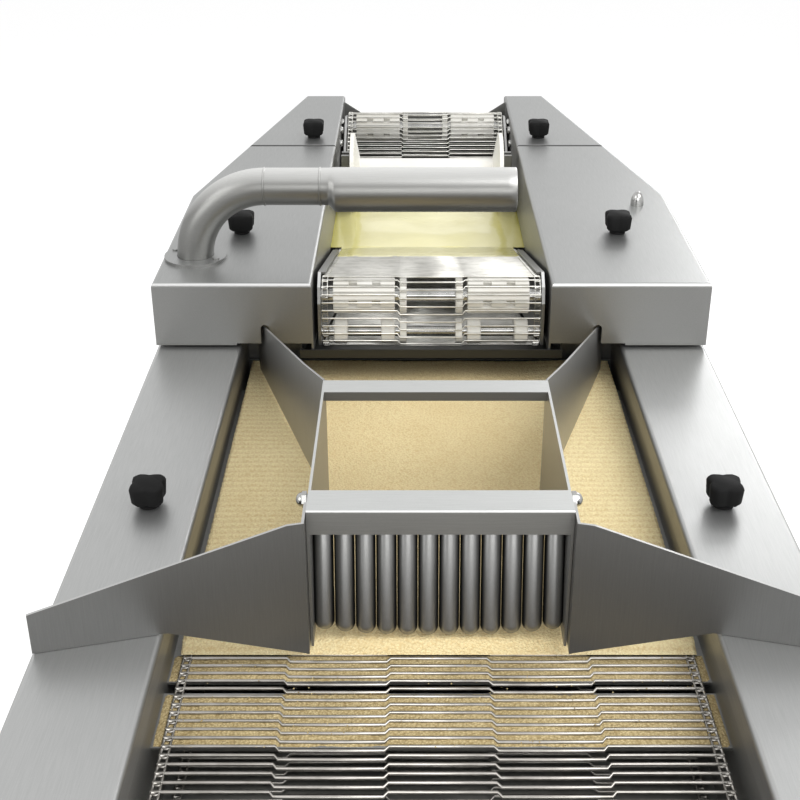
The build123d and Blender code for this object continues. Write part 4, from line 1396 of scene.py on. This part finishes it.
@dataclass
class ClampKnob:
    """A four-lobed knob with soft edges, on its stud.

    Attributes:
        size: Half the width of the grip.
        corner: Longest reach of a lobe, as a share of the size.
        scallop: Depth of the scallops between the lobes, as a share of the reach.
        neck: Radius of the neck.
        neck_height: Its height.
        grip: Height of the grip.
        stud: Radius of the stud.
        stud_length: Its length.
        lift: How far the knob stands off the cover.
        spots: Name, place across, place in mm behind the face and depth in mm below the tops of each pair.
    """

    size: float = 0.0136
    corner: float = 1.20
    scallop: float = 0.10
    neck: float = 0.0085
    neck_height: float = 0.0045
    grip: float = 0.0175
    stud: float = 0.004
    stud_length: float = 0.0298
    lift: float = 0.0003
    spots: tuple[tuple[str, float, float, float], ...] = (
        ("front_knob", 0.206, 150, 0), ("rear_knob", 0.152, 527, 0), ("crumb_knob", 0.233, -303, 70))

    def outline(self) -> list[tuple[float, float]]:
        """Outline of the grip: four broad lobes and four shallow scallops.

        Returns:
            Its points about the knob's axis.
        """
        points = []
        for angle in circle(64):
            square = self.size / max(abs(math.cos(angle)), abs(math.sin(angle)))
            reach = min(square, self.size * self.corner)
            reach *= 1.0 - self.scallop * math.exp(-math.sin(2 * angle) ** 2 / 0.16)
            points.append((reach * math.cos(angle), reach * math.sin(angle)))
        return points

    def knob(self, name: str, place: Point) -> Shape:
        """One knob on its stud.

        Args:
            name: Name of the mesh.
            place: Middle of its foot.

        Returns:
            The knob.
        """
        shape = Shape(name)
        x, y, z = place
        levels = ((0.0, 0.80), (0.0022, 0.93), (self.grip - 0.0030, 1.0), (self.grip - 0.0010, 0.95),
                  (self.grip, 0.84))
        shape.loft([[Vector((x + a * scale, y + b * scale, z + self.neck_height + rise))
                     for a, b in self.outline()] for rise, scale in levels])
        shape.lathe(place, UP, [(0.0, self.neck), (0.002, self.neck), (0.003, self.neck * 0.9),
                                (self.neck_height + 0.0005, self.neck * 0.95)], 32)
        shape.lathe(place, -UP, [(0.0, self.stud), (self.stud_length, self.stud)], 16)
        return shape

    def build(self, material: bpy.types.Material) -> None:
        """Make the six knobs.

        Args:
            material: Their finish.
        """
        for word, x, distance, depth in self.spots:
            for side, hand in ((-1, "left"), (1, "right")):
                node = word + "_" + hand
                shape = self.knob("lobed_" + node, (side * x, behind(distance), below(depth) + self.lift))
                add_piece("lobed_" + node, shape.done(40), material, node + "_body", (node,))


@dataclass
class Fasteners:
    """Bright dome nuts and the stud on the right cover.

    Attributes:
        shaft_nut: Height and radius of the nuts on the cross shaft's ends.
        shaft_spot: Place of these ends, across, along and up.
        plate_nut: Height and radius of the nuts on the side plates.
        plate_x: Distance of the side plates from the middle.
        plate_spots: The nuts on a side plate, in mm behind the face and below the covers' tops.
        stud: The stud's profile, as height and radius.
        stud_spot: Middle of its foot.
    """

    shaft_nut: tuple[float, float] = (0.008, 0.0062)
    shaft_spot: Point = (0.096, *CROSS_SHAFT)
    plate_nut: tuple[float, float] = (0.004, 0.0055)
    plate_x: float = 0.12
    plate_spots: tuple[tuple[float, float], ...] = ((645, 12), (612, 14), (588, 26))
    stud: tuple[tuple[float, float], ...] = (
        (0.0, 0.0075), (0.004, 0.0075), (0.009, 0.0068), (0.013, 0.0052), (0.0155, 0.003), (0.016, 0.001))
    stud_spot: Point = (0.242, behind(243), COVER_TOP)

    def dome(self, shape: Shape, place: Point, axis: Vector, height: float, radius: float) -> None:
        """A dome nut: a short hexagon foot with a round cap.

        Args:
            shape: The mesh that takes the nut.
            place: Middle of its foot.
            axis: Direction in which it stands.
            height: Its height.
            radius: Radius over its corners.
        """
        foot, cap = height * 0.42, radius * 0.86
        shape.lathe(place, axis, [(0.0, radius), (foot, radius)], 6)
        angles = [QUARTER_TURN * k / 6.5 for k in range(7)]
        rise = height - foot
        shape.lathe(place, axis, [(foot + rise * math.sin(a), cap * math.cos(a)) for a in angles], 24)

    def build(self, material: bpy.types.Material) -> None:
        """Make all the fasteners.

        Args:
            material: Their finish.
        """
        shape = Shape("dome nuts")
        x, y, z = self.shaft_spot
        for side in (-1, 1):
            self.dome(shape, (side * x, y, z), side * ACROSS, *self.shaft_nut)
            for distance, depth in self.plate_spots:
                spot = (side * self.plate_x, behind(distance), below(depth))
                self.dome(shape, spot, -side * ACROSS, *self.plate_nut)
        shape.lathe(self.stud_spot, UP, self.stud, 32)
        add_piece("bright_nuts", shape.done(40), material, "machine", ("dome_nuts",))


@dataclass
class Fingers:
    """Round bars that hang side by side from the cross shaft, each with a rounded tip.

    Attributes:
        count: Number of bars.
        pitch: Distance from bar to bar.
        radius: Radius of a bar.
        pivot: Place and height of the cross shaft.
        tip: Place and height of the solids' tips.
        bow: How much shorter the outermost bars are than the middle ones.
        extra: How much longer the middle bars are than the solids.
        head: Profile of the bar's head, as shares of the radius.
    """

    count: int = 12
    pitch: float = 0.0154
    radius: float = 0.00752
    pivot: tuple[float, float] = CROSS_SHAFT
    tip: tuple[float, float] = (behind(-421), below(108))
    bow: float = 0.0045
    extra: float = 0.0012
    head: tuple[tuple[float, float], ...] = ((-0.64, 0.60), (-0.52, 0.86), (-0.30, 1.0))

    def build(self, material: bpy.types.Material) -> None:
        """Make the bars. The outer ones are a little shorter than the middle ones.

        Args:
            material: Their finish.
        """
        start = Vector((0, *self.pivot))
        along = Vector((0, *self.tip)) - start
        middle = (self.count - 1) / 2
        angles = [QUARTER_TURN * k / 8.4 for k in range(9)]
        for number in range(self.count):
            offset = number - middle
            end = along.length + self.extra - self.bow * abs(offset / middle) ** 3 - self.radius
            profile = [(self.radius * place, self.radius * reach) for place, reach in self.head]
            profile += [(end + self.radius * math.sin(a), self.radius * math.cos(a)) for a in angles]
            shape = Shape("finger bar")
            shape.lathe((offset * self.pitch, *self.pivot), along, profile, 40)
            node = "finger_%02d" % (number + 1)
            add_piece("bar_" + node, shape.done(40), material, node + "_body", (node,))


@dataclass
class CurtainPipe:
    """Riser, elbow, reducer and slotted spreader tube, joined by weld beads.

    Attributes:
        place: Where the riser stands, across and along.
        foot: Height of its lower end.
        axis: Height of the level stretch.
        bend: Radius of the elbow.
        radius: Radius of the riser.
        wide: Radius of the spreader.
        left: Where the reducer begins.
        right: Where the spreader ends.
        neck: Straight stretch before the reducer.
        taper: Length of the reducer.
        top_rise: How far the spreader's top lies above that of the level stretch.
        wall: Thickness of the spreader.
        slot: Width of the slot in its underside.
        slot_ends: Distance of the slot from the reducer and from the spreader's end.
        bead: Height of a weld bead.
        bead_half: Half its width.
        sides: Sides of the pipe's section.
        bend_steps: Steps round the elbow.
        taper_steps: Steps along the reducer.
    """

    place: tuple[float, float] = (-0.2456, PIPE_Y)
    foot: float = 0.640
    axis: float = COVER_TOP + 0.0767
    bend: float = 0.076
    radius: float = 0.0189
    wide: float = 0.0226
    left: float = -0.113
    right: float = 0.087
    neck: float = 0.008
    taper: float = 0.008
    top_rise: float = 0.0003
    wall: float = 0.0016
    slot: float = 0.005
    slot_ends: tuple[float, float] = (0.006, 0.010)
    bead: float = 0.0007
    bead_half: float = 0.0011
    sides: int = 48
    bend_steps: int = 24
    taper_steps: int = 7

    def ring(self, centre: Vector, lean: float, radius: float) -> list[Vector]:
        """A ring of points square to the pipe.

        Args:
            centre: Its middle.
            lean: Lean of the pipe from upright, in radians.
            radius: Its radius.

        Returns:
            The points.
        """
        up = Vector((-math.cos(lean), 0, math.sin(lean)))
        side = Vector((0, 1, 0))
        return [centre + radius * (math.cos(a) * up + math.sin(a) * side) for a in circle(self.sides)]

    def weld(self, centre: Vector, along: Vector, lean: float) -> list[list[Vector]]:
        """Rings of a weld bead round the riser.

        Args:
            centre: Middle of the bead.
            along: Direction of the pipe.
            lean: Its lean from upright, in radians.

        Returns:
            The rings.
        """
        section = ((-1.0, 0.0), (-0.6, 0.8), (0.0, 1.0), (0.6, 0.8), (1.0, 0.0))
        return [self.ring(centre + along * self.bead_half * shift, lean, self.radius + self.bead * rise)
                for shift, rise in section]

    def slotted(self, x: float, z: float) -> list[Vector]:
        """Section of the spreader where its underside is open.

        Args:
            x: Place of the section.
            z: Height of the spreader's axis.

        Returns:
            Its points.
        """
        gap = math.asin(self.slot / 2 / self.wide)
        angles = spread(gap, FULL_TURN - gap, self.sides)
        inner = self.wide - self.wall
        y = self.place[1]
        around = [(self.wide, a) for a in angles] + [(inner, a) for a in reversed(angles)]
        return [Vector((x, y + reach * math.sin(a), z - reach * math.cos(a))) for reach, a in around]

    def build(self, material: bpy.types.Material) -> None:
        """Make the pipe.

        Args:
            material: Its finish.
        """
        x, y = self.place
        turn = self.axis - self.bend
        rings = [self.ring(Vector((x, y, self.foot)), 0.0, self.radius)]
        rings += self.weld(Vector((x, y, turn)), UP, 0.0)
        for angle in spread(0.0, QUARTER_TURN, self.bend_steps)[1:-1]:
            centre = Vector((x + self.bend * (1 - math.cos(angle)), y, turn + self.bend * math.sin(angle)))
            rings.append(self.ring(centre, angle, self.radius))
        rings += self.weld(Vector((x + self.bend, y, self.axis)), ACROSS, QUARTER_TURN)
        rings += self.weld(Vector((self.left, y, self.axis)), ACROSS, QUARTER_TURN)
        cone = self.left + self.neck
        middle = self.axis + self.radius - self.wide + self.top_rise
        for share in spread(0.0, 1.0, self.taper_steps):
            soft = share * share * (3 - 2 * share)
            centre = Vector((cone + self.taper * share, y, self.axis + (middle - self.axis) * soft))
            rings.append(self.ring(centre, QUARTER_TURN, self.radius + (self.wide - self.radius) * soft))
        open_from = cone + self.taper + self.slot_ends[0]
        open_to = self.right - self.slot_ends[1]
        rings.append(self.ring(Vector((open_from, y, middle)), QUARTER_TURN, self.wide))
        shape = Shape("curtain tube")
        shape.loft(rings)
        overlap = 0.0002
        shape.loft([self.slotted(open_from - overlap, middle), self.slotted(open_to + overlap, middle)])
        end = ((open_to, 0.0), (self.right - 0.0010, 0.0), (self.right - 0.0003, 0.0003),
               (self.right, 0.0010))
        shape.loft([self.ring(Vector((place, y, middle)), QUARTER_TURN, self.wide - inset)
                    for place, inset in end])
        add_piece("curtain_tube", shape.done(38), material, "machine", ("curtain_pipe",))


@dataclass
class Carriers:
    """Plates taken over from the frame with finer edges than their solids have.

    Attributes:
        rail_inner: Inner edge of the solids' strips beside the belt.
        rail_edge: Inner edge of the narrow strips beside the ramp.
        ramp: Start and end of these strips.
        near: How close to the inner edge a corner lies that is moved.
        bed_shift: How far the slot between the bed plates is moved.
        bed_slot: Start and end of the stretch in which it lies.
    """

    rail_inner: float = 0.101
    rail_edge: float = 0.1082
    ramp: tuple[float, float] = (behind(30), behind(300))
    near: float = 0.0004
    bed_shift: float = 0.010
    bed_slot: tuple[float, float] = (behind(-549), behind(-470))

    def side_plates(self, solid: bpy.types.Object, material: bpy.types.Material) -> None:
        """Make the belt's side plates, whose strips beside the ramp are narrow.

        Args:
            solid: The solid that they stand for.
            material: Their finish.
        """
        shape = Shape("side plates")
        shape.mesh.from_mesh(solid.data)
        for vert in shape.mesh.verts:
            on_strip = abs(abs(vert.co.x) - self.rail_inner) < self.near
            if on_strip and self.ramp[0] < vert.co.y < self.ramp[1]:
                vert.co.x = math.copysign(self.rail_edge, vert.co.x)
        add_piece("side_plates", shape.done(28), material, "machine", ("belt_side_plates",))

    def bed(self, solid: bpy.types.Object, material: bpy.types.Material) -> None:
        """Make the plates under the crumbs, with the slot between them.

        Args:
            solid: The solid that they stand for.
            material: Their finish.
        """
        shape = Shape("bed plates")
        shape.mesh.from_mesh(solid.data)
        for vert in shape.mesh.verts:
            if self.bed_slot[0] < vert.co.y < self.bed_slot[1]:
                vert.co.y += self.bed_shift
        add_piece("bed_sheets", shape.done(28), material, "machine", ("bed_plates",))


@dataclass
class Drives:
    """Fins, cowl grille and bolts that finish the pump and its motor.

    Attributes:
        axis_height: Height of the motor's axis above the pump's lowest point.
        volute_half: Half the width of the volute, which lies below the pipe.
        barrel: Length of the motor's barrel.
        barrel_radius: Radius of the barrel.
        barrel_gap: Distance of the fins' front ends from the volute's middle.
        cowl: Length of the cowl behind the barrel.
        fins: Number of fins.
        fin_share: Share of the barrel's length that the fins take.
        fin_half: Half the thickness of a fin.
        fin_foot: How deep the fins' feet lie in the barrel.
        fin_rise: How far the fins stand out.
        bolts: Bolts on each side of the volute.
        bolt_circle: Radius of the circle that they stand on.
        bolt: Radius of a bolt's head.
        grille_rings: Number of rings of the cowl's grille.
        grille_step: Distance between its rings.
        grille_reach: Reach of its spokes.
        grille_wire: Radius of its wires.
    """

    axis_height: float = 0.058
    volute_half: float = 0.023
    barrel: float = 0.150
    barrel_radius: float = 0.050
    barrel_gap: float = 0.036
    cowl: float = 0.032
    fins: int = 22
    fin_share: float = 0.86
    fin_half: float = 0.0012
    fin_foot: float = 0.004
    fin_rise: float = 0.0035
    bolts: int = 8
    bolt_circle: float = 0.051
    bolt: float = 0.0035
    grille_rings: int = 7
    grille_step: float = 0.006
    grille_reach: float = 0.046
    grille_wire: float = 0.0012

    def build(self, wardrobe: "Wardrobe") -> None:
        """Make the details of the pump and its motor.

        Args:
            wardrobe: The finishes.
        """
        low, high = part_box("pump")
        x, z = (low[0] + high[0]) / 2, low[2] + self.axis_height
        self._fins(x, z, wardrobe.get("motor_paint"))
        self._bolts(x, z, wardrobe.get("chrome"))
        self._grille(x, z, wardrobe.get("motor_paint"))

    def _fins(self, x: float, z: float, paint: bpy.types.Material) -> None:
        """Straight cooling fins round the motor's barrel.

        Args:
            x: Place of the motor's axis across the machine.
            z: Its height.
            paint: Finish of the fins.
        """
        shape = Shape("pump motor details")
        rear, front = PIPE_Y - self.volute_half - self.barrel, PIPE_Y - self.barrel_gap
        half = (front - rear) / 2 * self.fin_share
        low = (-self.fin_half, -half, self.barrel_radius - self.fin_foot)
        high = (self.fin_half, half, self.barrel_radius + self.fin_rise)
        for angle in circle(self.fins):
            spin = Matrix.Translation((x, (rear + front) / 2, z)) @ Matrix.Rotation(angle, 4, "Y")
            shape.box(low, high, spin)
        add_piece("pump_motor_fins", shape.done(30), paint, "machine", ())

    def _bolts(self, x: float, z: float, steel: bpy.types.Material) -> None:
        """Hexagon bolt heads in a circle on both sides of the volute.

        Args:
            x: Place of the motor's axis across the machine.
            z: Its height.
            steel: Finish of the bolts.
        """
        shape = Shape("pump bolts")
        head = [(0.0, self.bolt), (0.0022, self.bolt), (0.0026, self.bolt * 0.85)]
        for side in (-1, 1):
            axis = Vector((0, side, 0))
            u, v = across_of(axis)
            centre = Vector((x, PIPE_Y + side * self.volute_half, z))
            for angle in circle(self.bolts, 0.5):
                spot = centre + self.bolt_circle * (math.cos(angle) * u + math.sin(angle) * v)
                shape.lathe(tuple(spot), axis, head, 6)
        add_piece("pump_bolts", shape.done(30), steel, "machine", ())

    def _grille(self, x: float, z: float, paint: bpy.types.Material) -> None:
        """Rings and spokes over the end of the cowl.

        Args:
            x: Place of the motor's axis across the machine.
            z: Its height.
            paint: Finish of the grille.
        """
        shape = Shape("cowl grille")
        end = PIPE_Y - self.volute_half - self.barrel - self.cowl
        middle = Vector((x, end - self.grille_wire / 2, z))
        for k in range(self.grille_rings):
            reach = self.grille_step * (k + 1)
            points = [middle + reach * Vector((math.cos(a), 0, math.sin(a))) for a in circle(36)]
            shape.tube(points, self.grille_wire, 6, closed=True)
        for angle in spread(0.0, math.pi, 4)[:-1]:
            reach = Vector((math.cos(angle), 0, math.sin(angle))) * self.grille_reach
            shape.tube([middle - reach, middle + reach], self.grille_wire, 6)
        add_piece("cowl_grille", shape.done(40), paint, "machine", ())


@dataclass(frozen=True)
class Dial:
    """Place and size of a round control that stands out of the box along X.

    Attributes:
        foot: X of its foot.
        top: X of its face.
        y: Place of its axis.
        z: Height of its axis.
        radius: Its radius.
    """

    foot: float
    top: float
    y: float
    z: float
    radius: float

    @classmethod
    def of(cls, node: str) -> "Dial":
        """The control that a solid stands for."""
        low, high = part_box(node)
        return cls(low[0], high[0], (low[1] + high[1]) / 2, (low[2] + high[2]) / 2, (high[1] - low[1]) / 2)

    def around(self, x: float, reach: float, angle: float) -> Vector:
        """A point at x, a distance from the control's axis."""
        return Vector((x, self.y + reach * math.cos(angle), self.z + reach * math.sin(angle)))


@dataclass
class Controls:
    """Buttons with their bezels, and the ribbed speed knob with its mark and scale.

    Attributes:
        cap: Profile of a button's face, as depth and share of its radius.
        bezel: Section of a bezel, as height over the box and distance from the button.
        knob_ribs: Ribs round the speed knob.
        rib_points: Points of the knob's outline for each rib, and how many of them lie between two ribs.
        rib_depth: Depth between the ribs, as a share of the reach.
        knob_stem: Radius of the knob's stem.
        mark_half: Half the width of the knob's mark.
        mark_reach: Inner and outer end of the mark, as shares of the knob's radius.
        strokes: Number of strokes of the scale.
        stroke_gap: Distance of the strokes from the knob.
        stroke_half: Half the width of a stroke.
        stroke_rise: How far a stroke stands out.
        stroke_lengths: Length of the long and of the short strokes.
    """

    cap: tuple[tuple[float, float], ...] = (
        (-0.0022, 1.0), (-0.0008, 0.94), (-0.0002, 0.82), (-0.0008, 0.6), (-0.0013, 0.3))
    bezel: tuple[tuple[float, float], ...] = (
        (-0.0006, 0.0006), (0.0012, 0.0008), (0.0018, 0.0015), (0.0012, 0.0035), (-0.0006, 0.0038))
    knob_ribs: int = 24
    rib_points: tuple[int, int] = (5, 2)
    rib_depth: float = 0.045
    knob_stem: float = 0.004
    mark_half: float = 0.0007
    mark_reach: tuple[float, float] = (0.25, 0.64)
    strokes: int = 9
    stroke_gap: float = 0.003
    stroke_half: float = 0.0005
    stroke_rise: float = 0.0002
    stroke_lengths: tuple[float, float] = (0.006, 0.004)

    def build(self, wardrobe: "Wardrobe") -> None:
        """Make the controls on the face of the control box.

        Args:
            wardrobe: The finishes.
        """
        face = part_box("control_box")[1][0]
        self._buttons(face, wardrobe)
        dial = Dial.of("speed_knob")
        self._knob(face, dial, wardrobe)
        self._scale(face, dial, wardrobe)

    def _buttons(self, face: float, wardrobe: "Wardrobe") -> None:
        """The start and stop button, and their bezels on the box's face.

        Args:
            face: Place of the box's face.
            wardrobe: The finishes.
        """
        bezels = Shape("bezels")
        for node, slot in (("start_button", "green_plastic"), ("stop_button", "red_plastic")):
            dial = Dial.of(node)
            shape = Shape(node)
            profile = [(dial.foot - dial.top, dial.radius)]
            profile += [(depth, dial.radius * share) for depth, share in self.cap]
            shape.lathe((dial.top, dial.y, dial.z), ACROSS, profile, 48)
            add_piece(node + "_cap", shape.done(30), wardrobe.get(slot), node + "_body", (node,))
            rings = [[dial.around(face + rise, dial.radius + gap, angle) for angle in circle(48)]
                     for rise, gap in self.bezel]
            bezels.loft(rings, caps=False, closed=True)
        add_piece("button_bezels", bezels.done(40), wardrobe.get("chrome"), "machine", ())

    def _knob(self, face: float, dial: Dial, wardrobe: "Wardrobe") -> None:
        """The ribbed speed knob and its mark.

        Args:
            face: Place of the box's face.
            dial: Place and size of the knob.
            wardrobe: The finishes.
        """
        shape = Shape("speed knob")
        levels = ((face + 0.0006, 1.0, False), (face + 0.0030, 1.0, False), (face + 0.0034, 0.86, True),
                  (dial.top - 0.0015, 0.80, True), (dial.top - 0.0003, 0.76, True), (dial.top, 0.68, False))
        each, between = self.rib_points
        angles = circle(each * self.knob_ribs)
        rings = []
        for x, share, ribbed in levels:
            reach = dial.radius * share
            low = reach * (1.0 - self.rib_depth)
            rings.append([dial.around(x, low if ribbed and k % each < between else reach, angle)
                          for k, angle in enumerate(angles)])
        shape.loft(rings)
        shape.lathe((face, dial.y, dial.z), -ACROSS,
                    [(-0.001, self.knob_stem), (face - dial.foot, self.knob_stem)], 24)
        body = "speed_knob_body"
        add_piece("ribbed_speed_knob", shape.done(35), wardrobe.get("black_plastic"), body, ("speed_knob",))
        mark = Shape("knob mark")
        near, far = (dial.z + dial.radius * share for share in self.mark_reach)
        mark.box((dial.top - 0.0002, dial.y - self.mark_half, near),
                 (dial.top + 0.0003, dial.y + self.mark_half, far))
        add_piece("knob_mark", mark.done(30, 0.0001), wardrobe.get("white_plastic"), body, ())

    def _scale(self, face: float, dial: Dial, wardrobe: "Wardrobe") -> None:
        """The strokes round the speed knob, the first, middle and last of them longer.

        Args:
            face: Place of the box's face.
            dial: Place and size of the knob.
            wardrobe: The finishes.
        """
        shape = Shape("speed scale")
        start = dial.radius + self.stroke_gap
        for k, degrees in enumerate(spread(-120, 120, self.strokes - 1)):
            spin = (Matrix.Translation((face, dial.y, dial.z))
                    @ Matrix.Rotation(math.radians(degrees), 4, "X"))
            end = start + self.stroke_lengths[0 if k % 4 == 0 else 1]
            shape.box((-self.stroke_rise, -self.stroke_half, start),
                      (self.stroke_rise, self.stroke_half, end),
                      spin)
        add_piece("speed_scale", shape.done(30), wardrobe.get("black_plastic"), "machine", ())


def grey(tone: float, blue: float | None = None) -> Colour:
    """A grey, with its blue part a little off where it is given."""
    return tone, tone, tone if blue is None else blue


# Each steel's flat and upright colours are painted light from above: lighter flat sheet, darker upright
# sheet.
COVER_FLAT, COVER_UPRIGHT = (0.41, 0.415, 0.41), grey(0.27, 0.262)
WING_FLAT = grey(0.56, 0.55)
FINISHES = {
    "cover_steel": Steel("satin cover sheet", COVER_FLAT, COVER_UPRIGHT, 0.40, Grain.ALONG),
    # Rear covers: their fold colour is a dark painted shade line at the seam with the front covers.
    "rear_cover_steel": Steel("satin rear cover", COVER_FLAT, COVER_UPRIGHT, 0.40, Grain.ALONG,
                              fold=grey(0.07, 0.068), fold_share=1.0),
    "crumb_cover_steel": Steel("satin crumb cover", (0.50, 0.505, 0.50), COVER_UPRIGHT, 0.40, Grain.ALONG),
    "body_steel": Steel("casing sheet", grey(0.38, 0.37), grey(0.25, 0.24), 0.42, Grain.ACROSS),
    "guide_steel": Steel("brushed wing sheet", WING_FLAT, grey(0.20, 0.195), 0.40, Grain.UPRIGHT),
    "side_steel": Steel("brushed guide sheet", WING_FLAT, grey(0.42, 0.41), 0.38, Grain.UPRIGHT),
    "bridge_steel": Steel("pale bridge sheet", (0.64, 0.65, 0.64), grey(0.32, 0.31), 0.40, Grain.ACROSS),
    # Tank sheet painted near black: painted shade for the dark strip under the covers' front.
    "tank_steel": Steel("wet tank sheet with painted shade", grey(0.10, 0.095), grey(0.055, 0.05), 0.45, Grain.ACROSS,
                        fold_share=0.3),
    # Finger bars: side paints shade on their sides, for the dark gaps between them.
    "finger_steel": Steel("finger bar", grey(0.33, 0.32), grey(0.265, 0.26), 0.34, Grain.UPRIGHT,
                          fold_share=0.0, side=0.12),
    # Pipe: flat colour far above upright, a painted highlight along its top and painted shade below.
    "pipe_steel": Steel("satin pipe", grey(0.82, 0.80), grey(0.24, 0.23), 0.34, Grain.ACROSS,
                        fold_share=0.0, turn=(0.42, 1.0)),
    "wire_steel": Bright("belt wire", (0.68, 0.67, 0.63), 0.24),
    "dusty_wire_steel": Bright("dusty belt wire", (0.46, 0.44, 0.41), 0.30),
    "chrome": Bright("polished nuts", grey(0.48, 0.47), 0.14),
    "sprocket_plastic": Plastic("wet sprocket plastic", (0.70, 0.69, 0.65), (0.58, 0.56, 0.50), 0.45),
    "white_plastic": Plastic("turned white plastic", (0.88, 0.87, 0.83), (0.80, 0.78, 0.72), 0.45),
    "black_plastic": Plastic("black knob plastic", grey(0.008), grey(0.014), 0.6, gloss=0.10),
    "motor_paint": Plastic("grey motor paint", (0.42, 0.44, 0.46), (0.34, 0.36, 0.38), 0.4),
    "foot_rubber": Plastic("foot rubber", grey(0.03), grey(0.05), 0.7),
    "green_plastic": Plastic("green button", (0.03, 0.33, 0.09), (0.05, 0.38, 0.12), 0.3),
    "red_plastic": Plastic("red button", (0.52, 0.02, 0.02), (0.58, 0.05, 0.04), 0.3),
    "batter": Batter(),
    "crumbs": Crumbs(),
    # Strewn crumbs are darker than the raked layer, partly as painted shade between the belt's wires.
    "strewn_crumbs": Crumbs("strewn crumbs", (0.68, 0.56, 0.31), (0.34, 0.25, 0.11), 0.0),
}
OWN_FINISH = {
    "bridge_frame": "bridge_steel",
    "guide_left": "side_steel",
    "guide_right": "side_steel",
    "batter_tank": "tank_steel",
    "crumb_cover_left": "crumb_cover_steel",
    "crumb_cover_right": "crumb_cover_steel",
    "rear_cover_left": "rear_cover_steel",
    "rear_cover_right": "rear_cover_steel",
    "pipe_collar": "cover_steel",
}


@dataclass
class Wardrobe:
    """The materials that have been built, by the name of their finish.

    Attributes:
        made: The materials.
    """

    made: dict[str, bpy.types.Material] = field(default_factory=dict)

    def get(self, name: str) -> bpy.types.Material:
        """The material of a finish, built when it is first asked for.

        Args:
            name: Name of the finish.

        Returns:
            The material.
        """
        if name not in self.made:
            self.made[name] = FINISHES[name].make()
        return self.made[name]

    def dress(self, nodes: dict[str, bpy.types.Object], subparts: Sequence[dict[str, str]]) -> None:
        """Give every carried-over solid its finish, which is its own or that of its slot.

        Args:
            nodes: The solids by name.
            subparts: The record's list of solids and slots.
        """
        for entry in subparts:
            mesh = nodes[entry["node"]].data
            mesh.materials.clear()
            mesh.materials.append(self.get(OWN_FINISH.get(entry["node"], entry["material_slot"])))
            mesh.polygons.foreach_set("use_smooth", [True] * len(mesh.polygons))
            mesh.set_sharp_from_angle(angle=math.radians(28))


def belts() -> tuple[WireBelt, WireBelt]:
    """The wire belts of the batter unit and of the crumb unit.

    Returns:
        Both belts, not yet built.
    """
    bend, drum = (behind(426), below(165), 0.025, 1), (behind(426), below(76), 0.038, -1)
    wheels = ((*NOSE_AXIS, NOSE_RADIUS, 1), (*RETURN_AXIS, RETURN_RADIUS, 1), bend,
              (*INFEED_AXIS, INFEED_RADIUS, 1), drum)
    batter = WireBelt("wire_belt_batter", wheels, half=0.111, lanes=(-0.033, 0.033), wire=0.00085)
    wheels = ((-0.686, 0.852, 0.030, 1), (-0.012, 0.852, 0.030, 1))
    lane = 0.0368
    crumbs = WireBelt("wire_belt_crumbs", wheels, half=0.1886, lanes=(-3 * lane, -lane, lane, 3 * lane),
                      wire=0.00135)
    return batter, crumbs


def main() -> None:
    """Dress the machine and light it."""
    logging.basicConfig(level=logging.INFO)
    wardrobe = Wardrobe()
    wardrobe.dress(frame["nodes"], frame["record"]["subparts"])
    Studio().build()
    batter_belt, crumb_belt = belts()
    batter_belt.build(wardrobe.get("wire_steel"), "batter_belt")
    crumb_belt.build(wardrobe.get("dusty_wire_steel"), "crumb_belt")
    CrumbBed().build(wardrobe.get("crumbs"), wardrobe.get("strewn_crumbs"))
    BatterBath().build(wardrobe.get("batter"))
    Sprockets().build(wardrobe.get("sprocket_plastic"), wardrobe.get("chrome"))
    ClampKnob().build(wardrobe.get("black_plastic"))
    Fasteners().build(wardrobe.get("chrome"))
    Fingers().build(wardrobe.get("finger_steel"))
    CurtainPipe().build(wardrobe.get("pipe_steel"))
    carriers = Carriers()
    carriers.side_plates(frame["nodes"]["belt_side_plates"], wardrobe.get("body_steel"))
    carriers.bed(frame["nodes"]["bed_plates"], wardrobe.get("body_steel"))
    Drives().build(wardrobe)
    Controls().build(wardrobe)


if __name__ == "__main__":
    main()
